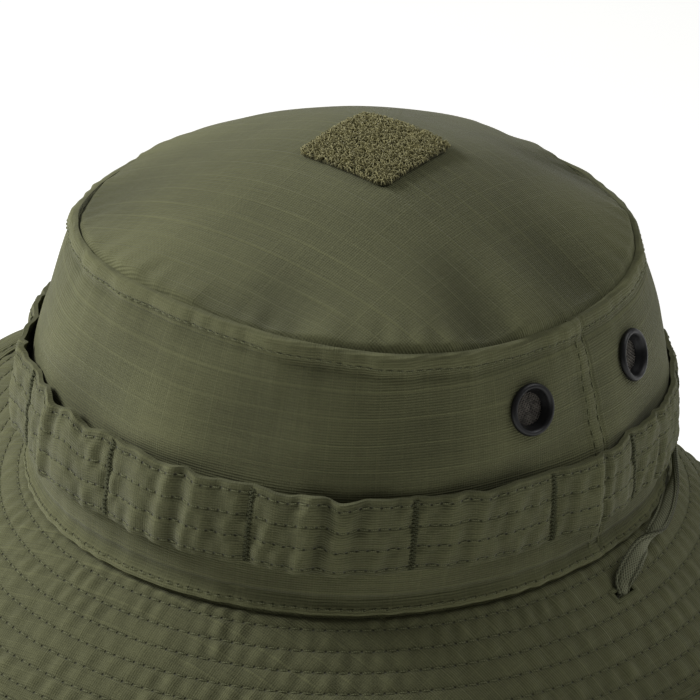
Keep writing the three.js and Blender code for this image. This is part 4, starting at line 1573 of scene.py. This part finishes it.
# ---------- brim ----------
@dataclass
class Brim:
    """Three plies quilted in seven rows, a folded binding, and two strap slits."""

    form: HatForm
    strap: ChinStrap
    width: float = 57.0
    fold: float = 46.6
    thick: float = 2.7
    first_row: float = 4.5
    row_gap: float = 6.59
    row_count: int = 7
    edge_row: float = 49.1
    pitch: float = 3.4
    puff: float = 0.55
    slit: tuple[float, float] = (1.0, 3.7)

    def rows(self) -> Array:
        """Reach of each quilting row."""
        return self.first_row + self.row_gap * np.arange(self.row_count)

    def stitch_count(self, reach: Array | float) -> Array:
        """Whole stitches round the brim at a reach, with 0.8 of the reach added to its radius."""
        return np.round(2 * math.pi * (SEAM_RADIUS + 0.8 * reach) / self.pitch)

    def sway(self, heading: Array, reach: Array) -> Array:
        """The brim's slow waves, which all its plies share."""
        return 1.3 * ring_folds(heading, reach, 41, (3, 7), 200) * (np.maximum(reach, 0) / self.width) ** 1.6

    def relief(self, heading: Array, reach: Array, seed: int) -> Array:
        """Quilting: puffed between the rows, drawn down and puckered at them.

        The puff is |sin(pi (reach - first row) / row gap)|^0.7, and the puckers are short
        folds that run across it.

        Args:
            heading: Degrees from the front.
            reach: Millimetres out from the seam.
            seed: Seed of the puckers.

        Returns:
            Millimetres off the form.
        """
        phase = (reach - self.first_row) / self.row_gap
        belly = np.abs(np.sin(math.pi * phase)) ** 0.7
        lane = np.floor(phase)
        slant = ring_folds(heading, reach + 37 * lane, seed, (70, 130), 26)
        long = ring_folds(heading, reach + 11 * lane, seed + 1, (24, 52), 60)
        quilt = self.puff * belly * (0.78 + 0.3 * long) + 0.34 * slant * (0.3 + 0.7 * belly) - 0.3
        inside = 1 - smooth(reach, self.fold - 0.6, self.fold + 1.2)
        seam = 0.9 * bell(reach - 0.5, 0.9)
        return quilt * inside * smooth(reach, 0.2, 1.8) - seam - 0.25 * (1 - inside)

    def face(self, heading: Array, reach: Array, lift: Array | float) -> Array:
        """Points on, or lifted off, the top of the upper ply."""
        level = self.relief(heading, reach, 42) + self.sway(heading, reach) + lift
        return self.form.brim(heading, reach, level)

    def under(self, heading: Array, reach: Array, lift: Array | float) -> Array:
        """Points on, or lifted off, the underside of the lower ply."""
        level = self.sway(heading, reach) - self.thick - 0.7 * self.relief(heading, reach, 46) - lift
        return self.form.brim(heading, reach, level)

    def ply(self, name: str, seed: int | None, outer: float, inner: float, sense: int) -> Object:
        """One ply, open at the strap's slits.

        Args:
            name: The piece's name.
            seed: Seed of its puckers, or none for a flat ply.
            outer: Level of its outer face under the form's face.
            inner: Level of its back.
            sense: 1 where the outer face looks up, -1 where it looks down.

        Returns:
            The ply.
        """
        fine = seed is not None
        headings = np.linspace(0, 360, 720 if fine else 300, endpoint=False)
        across = through([-1.4, 0.3, *self.rows(), self.fold, 56.4], 0.95 if fine else 3.0)
        heading, reach = mesh_grid(headings, across)
        relief = self.relief(heading, reach, seed) * (1 if sense > 0 else 0.7) if fine else 0 * reach
        sway = self.sway(heading, reach)
        front = self.form.brim(heading, reach, sway + outer + sense * relief)
        back = self.form.brim(heading, reach, sway + inner + sense * 0.5 * np.minimum(relief, 0))
        wide = np.append(headings, 360.0)
        outward = self.form.outward(wide)[:, None, :2]
        flat = self.form.base.at(wide)[:, None, :2] + outward * across[None, :, None]
        near = np.abs(across[:, None] - self.rows())
        count = self.stitch_count(self.rows())
        rows = np.stack(np.broadcast_arrays(wide[:, None] / 360 * count[near.argmin(1)][None],
                                            near.min(1)[None]), -1)
        centre = (front[:-1, :-1] + front[1:, 1:]) / 2
        centre = np.concatenate([centre, (front[-1:, :-1] + front[:1, 1:]) / 2])
        keep = np.ones(centre.shape[:2], bool)
        for x in self.strap.slits:
            across_slit = np.abs(centre[..., 0] - x) < self.slit[0]
            along_slit = np.abs(centre[..., 1] - self.strap.plane) < self.slit[1]
            keep &= ~(across_slit & along_slit)
        return Cloth(front, back, flat, rows, relief, keep=keep).build(name)

    def binding(self) -> Object:
        """The folded edge: cloth turned round the brim and stitched near its fold.

        Its section runs out along the top, round the edge as a half ellipse, back along the
        underside, and then inside the fold the other way.

        Returns:
            The binding.
        """
        headings = np.linspace(0, 360, 720, endpoint=False)
        run = through([self.fold, self.edge_row, 57.0], 0.9)
        turn = np.linspace(math.pi / 2, -math.pi / 2, 9)[1:-1]
        half = self.thick / 2
        edge = np.stack([self.width + 1.15 * np.cos(turn), -half + (half + 0.75) * np.sin(turn)], -1)
        inside = np.stack([self.width + 0.55 * np.cos(turn), -half + (half + 0.2) * np.sin(turn)], -1)
        outer = np.concatenate([np.stack([run, 0.75 + 0 * run], -1), edge,
                                np.stack([run[::-1], -self.thick - 0.75 + 0 * run], -1)])
        inner = np.concatenate([np.stack([run, 0.2 + 0 * run], -1), inside,
                                np.stack([run[::-1], -self.thick - 0.2 + 0 * run], -1)])
        heading, reach = mesh_grid(headings, outer[:, 0])
        up = np.sign(outer[:, 1] + half)[None]
        pucker = 0.28 * ring_folds(heading, reach, 51, (80, 150), 30)
        pucker += 0.2 * ring_folds(heading, reach, 52, (26, 50), 80)
        flat = plateau(reach, self.fold - 0.6, 57.4, 2.0)
        relief = pucker * flat + 0.3 * bell(reach - 53.5, 3.5) - 0.5 * bell(reach - self.edge_row, 0.8)
        relief -= 0.35 * bell(reach - self.fold, 0.7)
        sway = self.sway(heading, reach)
        front = self.form.brim(heading, reach, sway + outer[:, 1][None] + up * relief)
        back = self.form.brim(heading, reach * 0 + inner[:, 0], sway + inner[:, 1][None])
        wide = np.append(headings, 360.0)
        across = arc_length(outer)
        weave = np.stack(np.broadcast_arrays(np.radians(wide)[:, None] * 142.0, across[None]), -1)
        count = round(2 * math.pi * 131 / self.pitch)
        near = np.abs(outer[:, 0] - self.edge_row)
        rows = np.stack(np.broadcast_arrays(wide[:, None] / 360 * count, near[None]), -1)
        return Cloth(front, back, weave, rows, relief).build("brim_binding_cloth")

    def threads(self, name: str, face: Surface) -> Object:
        """The quilting and edge stitches on one side of the brim.

        Args:
            name: The piece's name.
            face: The surface that they lie on.

        Returns:
            The thread.
        """
        parts = []
        for reach in [*self.rows(), self.edge_row]:
            count = int(self.stitch_count(reach))
            step = 360 / count
            first = np.arange(count) * step + step * 0.16
            last = first + step * 0.68
            lift = 1.0 if reach == self.edge_row else 0.02
            level = np.full(count, float(reach))
            start, end = face(first, level, lift), face(last, level, lift)
            above = face(first, level, lift + 1.0)
            clear = np.ones(count, bool)
            for x in self.strap.slits:
                clear &= (np.abs(start[:, 0] - x) > 2.6) | (np.abs(start[:, 1] - self.strap.plane) > 6.5)
            parts.append((start[clear], end[clear], unit(above - start)[clear]))
        starts, ends, ups = (np.concatenate([p[k] for p in parts]) for k in range(3))
        return stitches(name, starts, ends, ups, 0.2, 0.2)

    def slit_edging(self) -> Object:
        """Buttonhole stitches along each slit's two sides, and a bar across each end.

        Returns:
            The thread.
        """
        starts, ends = [], []
        for heading, x in zip((91.0, 269.0), self.strap.slits):
            sign = math.copysign(1, x)
            along = np.linspace(-3.9, 3.9, 20)
            turn = heading - sign * np.degrees(along / 101.0) * -1
            for inner, outer in ((10.3, 11.9), (13.9, 15.5)):
                starts.append(self.face(turn, inner + 0 * along, 0.1))
                ends.append(self.face(turn, outer + 0 * along, 0.1))
            bar = np.linspace(10.9, 14.7, 8)
            for place in (-4.4, 4.4):
                mid = heading + sign * math.degrees(place / 101.0)
                starts.append(self.face(mid - 0.5 + 0 * bar, bar, 0.12))
                ends.append(self.face(mid + 0.5 + 0 * bar, bar, 0.12))
        start, end = np.concatenate(starts), np.concatenate(ends)
        ups = np.tile([0.0, 0.0, 1.0], (len(start), 1)) + unit(start * [1, 1, 0]) * 0.6
        return stitches("slit_buttonhole_thread", start, end, unit(ups), 0.22, 0.2)

    def build(self, cloth: Material, thread: Material) -> None:
        """Args:
            cloth: The shell cloth.
            thread: The sewing thread.
        """
        upper = self.ply("brim_cloth_upper", 42, 0.0, -0.8, 1)
        lower = self.ply("brim_cloth_lower", 46, -self.thick, -self.thick + 0.65, -1)
        canvas = self.ply("brim_canvas", None, -1.1, -1.75, 1)
        stiff = WovenCloth("interlining_canvas", "#5a5a4c", "#3f3f35", Weave.PLAIN, False, 1.1,
                           bump=0.12).make()
        edge = self.binding()
        top_thread = self.threads("brim_stitching_upper", self.face)
        low_thread = self.threads("brim_stitching_lower", self.under)
        slits = self.slit_edging()
        for piece, finish, slot, node in ((upper, cloth, "ripstop_cloth", "brim_upper"),
                                          (lower, cloth, "ripstop_cloth", "brim_lower"),
                                          (canvas, stiff, "interlining_canvas", "brim_interlining")):
            declare(piece, Body.HAT, slot, finish, node)
        declare(edge, Body.HAT, "ripstop_cloth", cloth, "brim_edge_binding")
        for piece in (top_thread, low_thread, slits):
            declare(piece, Body.HAT, "ripstop_cloth", thread)


# ---------- branch loops ----------
@dataclass
class BranchLoops:
    """One folded strip, quilted in four rows and tacked to the crown at each loop's ends."""

    form: HatForm
    crown: Crown
    foot: tuple[float, float, float] = (14.6, 0.9, 5.0)
    head: tuple[float, float, float] = (37.0, 2.4, 25.0)
    thick: float = 1.5
    rest: float = 0.75
    pitch: float = 3.0
    stitch_rows: tuple[float, ...] = (0.08, 0.355, 0.64, 0.92)
    loops: tuple[tuple[float, float], ...] = (
        (-8, 2.0), (21.5, 2.6), (50, 1.6), (77, 2.8), (99, 1.5), (127, 0.4), (155, 0.7),
        (181, 3.0), (207, 3.2), (233, 3.6), (259, 3.6), (281, 3.0), (302, 2.8), (323, 2.2))

    def place(self, heading: Array) -> tuple[Array, Array, Array]:
        """Which loop a heading is in, how far through it, and how far its strip stands off.

        Args:
            heading: Degrees from the front.

        Returns:
            Loop number, share of the loop, and rest + bow * sin(pi share)^0.7.
        """
        tacks = np.array([t for t, _ in self.loops] + [self.loops[0][0] + 360])
        bows = np.array([b for _, b in self.loops])
        turn = (heading - tacks[0]) % 360 + tacks[0]
        number = np.clip(np.searchsorted(tacks, turn, side="right") - 1, 0, len(bows) - 1)
        share = (turn - tacks[number]) / (tacks[number + 1] - tacks[number])
        return number, share, self.rest + bows[number] * np.sin(math.pi * np.clip(share, 0, 1)) ** 0.7

    def edges(self, heading: Array) -> tuple[Array, Array]:
        """Heights of the strip's lower and upper edges.

        Each is level + swing cos(heading + turn), with small waves between the tacks.

        Args:
            heading: Degrees from the front.

        Returns:
            Millimetres above the brim seam.
        """
        low, high = (level + swing * np.cos(np.radians(heading + turn))
                     for level, swing, turn in (self.foot, self.head))
        ripple = ring_folds(heading, 0 * heading, 61, (18, 40), 50)
        flutter = ring_folds(heading, 0 * heading, 62, (22, 46), 50)
        _, share, _ = self.place(heading)
        loose = np.sin(math.pi * np.clip(share, 0, 1)) ** 0.5
        return low + 0.5 * ripple * loose, high + 0.8 * flutter * loose

    def relief(self, heading: Array, t: Array) -> Array:
        """How far the strip's face stands off the crown's form.

        The loop's bow, upright folds that deepen away from the tacks, a furrow at each
        stitch row, puckers between them, and edges rolled back.

        Args:
            heading: Degrees from the front.
            t: 0 at the lower edge, 1 at the upper.

        Returns:
            Millimetres outwards.
        """
        number, share, off = self.place(heading)
        loose = np.sin(math.pi * np.clip(share, 0, 1)) ** 0.55
        upright = ring_folds(heading, 22 * t + 0 * number, 63, (24, 58), 90)
        draw = np.random.default_rng(66).uniform((0.3, 0.7, 1.3), (0.55, 1.4, 2.6),
                                                 (len(self.loops), 3))[number]
        reach = (share - draw[..., 0] - 0.05 * (t - 0.5)) * 38
        pleat = 0.9 * bell(reach + 3.4, 2.2) - draw[..., 1] * bell(reach, 1.5)
        pleat += 0.7 * bell(reach - 3.2, draw[..., 2])
        pucker = ring_folds(heading, 22 * t + 9 * np.floor(t * 3.6), 65, (70, 130), 30)
        near = np.abs(t[..., None] - np.array(self.stitch_rows)).min(-1) * 22.5
        quilt = 0.34 * (1 - bell(near, 1.3)) - 0.2
        roll = 0.7 * (bell(t * 22.5, 0.8) + bell((1 - t) * 22.5, 0.8))
        give = np.clip(np.array([bow for _, bow in self.loops])[number] / 2.2, 0.25, 1.0)
        folds = give * (0.6 * upright + 0.8 * pleat - 0.1) + 0.28 * pucker
        return off + self.thick + folds * loose + quilt - roll + 0.35 * (1 - loose) * pucker

    def face(self, heading: Array, t: Array, lift: Array | float) -> Array:
        """Points on, or lifted off, the strip's face."""
        low, high = self.edges(heading)
        return self.form.wall(heading, low + (high - low) * t, self.relief(heading, t) + lift)

    def strip(self) -> Object:
        """The strip itself.

        Returns:
            The strip.
        """
        headings = np.linspace(0, 360, 960, endpoint=False)
        levels = through([0.0, *self.stitch_rows, 1.0], 0.036)
        heading, t = mesh_grid(headings, levels)
        relief = self.relief(heading, t)
        low, high = self.edges(heading)
        height = low + (high - low) * t
        _, _, off = self.place(heading)
        front = self.form.wall(heading, height, relief)
        floor = np.maximum(self.crown.relief(heading, height) + 0.12, relief - self.thick - 0.35
                           * (relief - off - self.thick))
        back = self.form.wall(heading, height, np.minimum(floor, relief - 0.5))
        wide = np.append(headings, 360.0)
        weave = np.stack(np.broadcast_arrays(np.radians(wide)[:, None] * 98.0, levels[None] * 22.5), -1)
        near = np.abs(levels[:, None] - np.array(self.stitch_rows)).min(-1) * 22.5
        rows = np.stack(np.broadcast_arrays(wide[:, None] / 360 * self.stitch_count(), near[None]), -1)
        return Cloth(front, back, weave, rows, relief - off - self.thick + 0.2).build("branch_loop_strip")

    def stitch_count(self) -> int:
        """Stitches in one row all round."""
        return round(2 * math.pi * 98.0 / self.pitch)

    def threads(self) -> Object:
        """The strip's four rows of stitches.

        Returns:
            The thread.
        """
        count = self.stitch_count()
        step = 360 / count
        first = np.tile(np.arange(count) * step + step * 0.16, len(self.stitch_rows))
        level = np.repeat(self.stitch_rows, count)
        last = first + step * 0.68
        return stitches("branch_loop_stitching", self.face(first, level, 0.02), self.face(last, level, 0.02),
                        self.form.outward(first), 0.19, 0.18)

    def tacks(self) -> Object:
        """Bar tacks: dense zigzags of thread, one at each end of every loop.

        Returns:
            The thread.
        """
        steps = 36
        t = np.linspace(0.02, 0.98, steps + 1)
        tack = np.array([at for at, _ in self.loops], float)[:, None]
        side = np.where(np.arange(steps) % 2, 0.62, -0.62)[None]
        first, last = tack + side, tack - side
        low, high = np.broadcast_to(t[:-1], first.shape), np.broadcast_to(t[1:], last.shape)
        start, end = self.face(first, low, 0.12), self.face(last, high, 0.12)
        ups = self.form.outward(first + 0 * low)
        return stitches("branch_loop_tacks", start.reshape(-1, 3), end.reshape(-1, 3), ups.reshape(-1, 3),
                        0.23, 0.22)

    def build(self, cloth: Material, thread: Material, bar: Material) -> None:
        """Args:
            cloth: The strip's cloth.
            thread: The sewing thread.
            bar: The bar tacks' denser thread.
        """
        strip, rows, tacks = self.strip(), self.threads(), self.tacks()
        declare(strip, Body.HAT, "ripstop_cloth", cloth, "branch_loop_band")
        declare(rows, Body.HAT, "ripstop_cloth", thread)
        declare(tacks, Body.HAT, "ripstop_cloth", bar)


# ---------- loop patch ----------
@dataclass
class LoopPatch:
    """A square of loop pile sewn to the top of the crown."""

    form: HatForm
    corner: float = 4.2
    backing: float = 1.1
    loops: int = 3300
    strand: float = 0.125
    tall: float = 1.5
    shift: tuple[float, float] = (1.5, 0.5)
    spread: tuple[float, float] = (1.5, 0.1)
    inset: float = 1.5

    def outline(self, inset: float, count: int) -> Array:
        """A rounded square about the patch's centre.

        Args:
            inset: How far inside the patch's edge it runs.
            count: Number of points.

        Returns:
            Points in plan.
        """
        low, high = (np.array(c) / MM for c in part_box("loop_patch"))
        half = (high - low)[:2] / 2 + self.spread - inset
        radius = max(self.corner - inset, 0.3)
        a = circle(4 * count)
        ray = np.stack([np.cos(a), np.sin(a)], -1)
        core = np.clip(ray * half.max() * 2, -(half - radius), half - radius)
        dense = core + unit(ray) * radius
        run = arc_length(np.vstack([dense, dense[:1]]))
        steps = np.linspace(0, run[-1], count, endpoint=False)
        wrapped = np.vstack([dense, dense[:1]])
        return np.stack([np.interp(steps, run, wrapped[:, k]) for k in range(2)], -1)

    def ground(self, plan: Array) -> Array:
        """Height of the crown's top under points of the plan, about its apex."""
        reach = np.linalg.norm(plan, axis=-1) / 82.0
        fall = (reach**4 + self.form.dome_flat**4) ** (self.form.dome_power / 4)
        return self.form.top.height + self.form.dome_rise * (1 - fall) + self.form.patch_lift

    def lay(self, plan: Array, lift: Array | float) -> Array:
        """Points of the plan, moved to the patch's place and a lift above the crown."""
        height = self.ground(plan) + lift
        return np.concatenate([plan + np.array(self.form.apex) + self.shift, height[..., None]], -1)

    def base(self) -> Object:
        """The backing: a thin slab draped on the crown, with a rounded edge.

        Returns:
            The backing.
        """
        edge = self.outline(0.0, 120)
        share = np.array([0, 0.35, 0.7, 0.9, 0.975, 1, 1, 0.975, 0.9, 0.7, 0.35, 0])
        lift = np.array([0.05, 0.05, 0.05, 0.05, 0.05, 0.2, 0.7, 0.9, 1, 1, 1, 1]) * self.backing + 0.08
        plan = edge[:, None] * share[None, :, None]
        points = self.lay(plan, lift)
        faces = grid_faces(len(edge), len(share), ring_rows=True)
        return put_mesh("loop_patch_backing", points.reshape(-1, 3), faces,
                        {"weave": plan.reshape(-1, 2)[faces]}, weld=True)

    def pile(self) -> Object:
        """The pile: small loops of strand, leaning every way, thinner towards the sewn edge.

        Each loop is a half ellipse, x = w cos a, z = h sin a, turned and tipped at random.

        Returns:
            The pile.
        """
        draw = np.random.default_rng(71)
        low, high = (np.array(c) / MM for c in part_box("loop_patch"))
        half = (high - low)[:2] / 2 + self.spread + 0.2
        place = draw.uniform(-1, 1, (int(self.loops * 1.15), 2)) * half
        corner = np.maximum(np.abs(place) - (half - self.corner), 0)
        place = place[np.linalg.norm(corner, axis=1) < self.corner][:self.loops]
        count = len(place)
        rim = smooth((half - np.abs(place)).min(1), 0.0, 2.4)
        swirl = np.sin(place[:, 0] * 1.1 + 3 * np.sin(place[:, 1] * 0.6))
        clump = 0.5 + 0.5 * swirl * np.sin(place[:, 1] * 1.3)
        tall = self.tall * (0.55 + 0.45 * rim) * draw.uniform(0.7, 1.15, count) * (0.85 + 0.25 * clump)
        wide = draw.uniform(0.45, 0.85, count)
        turn = draw.uniform(0, math.pi, count)
        tip = draw.uniform(0, 0.95, count)
        way = draw.uniform(0, 2 * math.pi, count)
        a = np.linspace(-0.15, math.pi + 0.15, 6)
        t = np.concatenate([[a[0]], a, [a[-1]]])
        size = np.concatenate([[0], np.ones(6), [0]]) * self.strand
        x, z = wide[:, None] * np.cos(t), tall[:, None] * np.sin(t)
        u = np.stack([np.cos(turn), np.sin(turn), 0 * turn], -1)
        up = unit(np.stack([np.sin(tip) * np.cos(way), np.sin(tip) * np.sin(way), np.cos(tip)], -1))
        side = unit(np.cross(u, up))
        mid = x[..., None] * u[:, None] + z[..., None] * up[:, None]
        slope = unit(-np.sin(t)[None, :, None] * (wide[:, None] * u)[:, None]
                     + np.cos(t)[None, :, None] * (tall[:, None] * up)[:, None])
        out = np.cross(slope, side[:, None])
        ring = circle(4)
        shape = (side[:, None, None] * np.cos(ring)[:, None] + out[:, :, None] * np.sin(ring)[:, None])
        points = mid[:, :, None] + shape * size[None, :, None, None]
        seat = self.lay(place, self.backing)
        points += seat[:, None, None]
        cell = grid_faces(len(t), 4, ring_cols=True)
        faces = (cell[None] + (np.arange(count) * len(t) * 4)[:, None, None]).reshape(-1, 4)
        # painted highlight: lit makes each loop lighter towards its top; the rest of the tone is random for
        # each loop
        lit = np.tile(np.repeat(np.sin(np.clip(t, 0, math.pi)), 4), count)
        tone_and_highlight = np.repeat(draw.uniform(0, 1, count), len(t) * 4) * 0.6 + lit * 0.4
        return put_mesh("loop_patch_pile", points.reshape(-1, 3), faces, values={"relief": tone_and_highlight}, weld=True)

    def threads(self) -> Object:
        """One row of stitches round the patch, sunk in the pile.

        Returns:
            The thread.
        """
        count = 40
        line = self.outline(self.inset, 4 * count)
        points = self.lay(line, self.backing + 0.12)
        starts, ends = points[::4], points[2::4] + (points[2::4] - points[::4]) * 0.4
        return stitches("loop_patch_stitching", starts, ends, np.tile([0.0, 0, 1], (count, 1)), 0.22, 0.35)

    def build(self, thread: Material) -> None:
        """Args:
            thread: The sewing thread.
        """
        pile = NylonPile().make()
        base, loops, rows = self.base(), self.pile(), self.threads()
        backing = WovenCloth("pile_backing", "#5a573a", "#3b3a25", Weave.PLAIN, False).make()
        declare(base, Body.HAT, "loop_pile", backing, "loop_patch")
        declare(loops, Body.HAT, "loop_pile", pile)
        declare(rows, Body.HAT, "loop_pile", thread)


# ---------- cord lock ----------
@dataclass
class CordLock:
    """A spring barrel lock: a ribbed barrel, a plunger pushed in with the thumb, and a spring."""

    front: float = -8.0
    end: float = 13.0
    radius: float = 7.5
    bore: float = 5.3
    stem: float = 5.0
    travel: float = 3.2
    spring_radius: float = 3.6
    spring_run: tuple[float, float] = (5.2, 10.4)
    wire: float = 0.42
    coils: int = 4

    def centre(self) -> Array:
        """Where the strap passes through, in millimetres."""
        low, high = (np.array(c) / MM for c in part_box("cord_lock_body"))
        return np.array([0.0, low[1] - self.front, (low[2] + high[2]) / 2])

    def barrel(self) -> Object:
        """The barrel: five grip ribs, a rounded closed end, and a bore that stops short of it.

        Returns:
            The barrel.
        """
        r, f, e = self.radius, self.front, self.end
        ribs = [p for k in range(5) for p in ((r - 0.55, f + 6.2 + 2.1 * k), (r, f + 6.8 + 2.1 * k),
                                              (r, f + 7.7 + 2.1 * k), (r - 0.55, f + 8.3 + 2.1 * k))]
        corners = [(self.bore, f), (r - 0.5, f), (r, f + 0.7), (r, f + 3.6), (r - 0.6, f + 4.6), *ribs,
                   (r - 0.5, e - 2.4), (r - 1.6, e - 0.5), (r - 4.0, e), (0.0, e)]
        outside = rounded([(0.0, e - 2), (self.bore, e - 2), *corners], 0.35)
        piece = turned("cord_lock_barrel", outside, self.centre(), np.array([0.0, 1, 0]), 96)
        bored(piece, self.centre(), (3.9, 2.2), 12)
        return piece

    def plunger(self) -> Object:
        """The plunger: a stem that fills the bore, and a dished thumb button, its milled edge not drawn.

        Returns:
            The plunger.
        """
        nose = self.front - 0.3 - self.travel
        profile = rounded([(0.0, nose - 2.5), (3.6, nose - 2.7), (5.3, nose - 3.0), (6.2, nose - 2.3),
                           (6.2, nose - 0.3), (5.6, nose), (self.stem, nose + 0.1), (self.stem, 4.2),
                           (self.stem - 0.5, 4.6), (0.0, 4.6)], 0.4)
        piece = turned("cord_lock_thumb_plunger", profile, self.centre(), np.array([0.0, 1, 0]), 96)
        middle_hole = self.centre() - [0, self.travel / 2, 0]
        bored(piece, middle_hole, (3.75, 2.1 + self.travel / 2), 12)
        return piece

    def spring(self) -> Object:
        """The spring: a helix of wire about the barrel's axis.

        x = r cos a, z = r sin a, and y runs from end to end, slower near the ends, so that the
        end turns lie closer together.

        Returns:
            The spring.
        """
        a = np.linspace(0, 2 * math.pi * self.coils, 40 * self.coils)
        share = smooth(a, 1.2, a[-1] - 1.2) * 0.5 + a / a[-1] * 0.5
        y = self.spring_run[0] + self.wire + (self.spring_run[1] - self.spring_run[0] - 2 * self.wire) * share
        r = self.spring_radius
        path = self.centre() + np.stack([r * np.cos(a), y, r * np.sin(a)], -1)
        wide = np.tile([0.0, 1.0, 0.0], (len(path), 1))
        return swept("cord_lock_coil_spring", path, wide, oval(2 * self.wire, 2 * self.wire, 10))

    def build(self) -> None:
        acetal = MouldedAcetal().make()
        declare(self.barrel(), Body.CORD_LOCK, "acetal_plastic", acetal, "cord_lock_body")
        declare(self.plunger(), Body.PLUNGER, "acetal_plastic", acetal, "cord_lock_plunger")
        spring = self.spring()
        declare(spring, Body.CORD_LOCK, "spring_wire", SpringSteel().make(), "cord_lock_spring")
        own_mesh(spring)


def main() -> None:
    """Builds the hat, piece by piece, in the frame's own place."""
    logging.basicConfig(level=logging.INFO, format="%(name)s: %(message)s")
    Studio().build()
    strap = ChinStrap()
    strap.build()
    form = HatForm()
    cloth = WovenCloth().make()
    strip_cloth = WovenCloth("ripstop_strip", "#6a6b4b", "#505138", stitch=3.0).make()
    thread = SewingThread().make()
    crown = Crown(form)
    Brim(form, strap).build(cloth, thread)
    crown.build(cloth, thread)
    Vents(form).build()
    BranchLoops(form, crown).build(strip_cloth, thread,
                                   SewingThread("bar_tack_thread", "#585a40", "#383a28").make())
    LoopPatch(form).build(thread)
    CordLock().build()


if __name__ == "__main__":
    main()
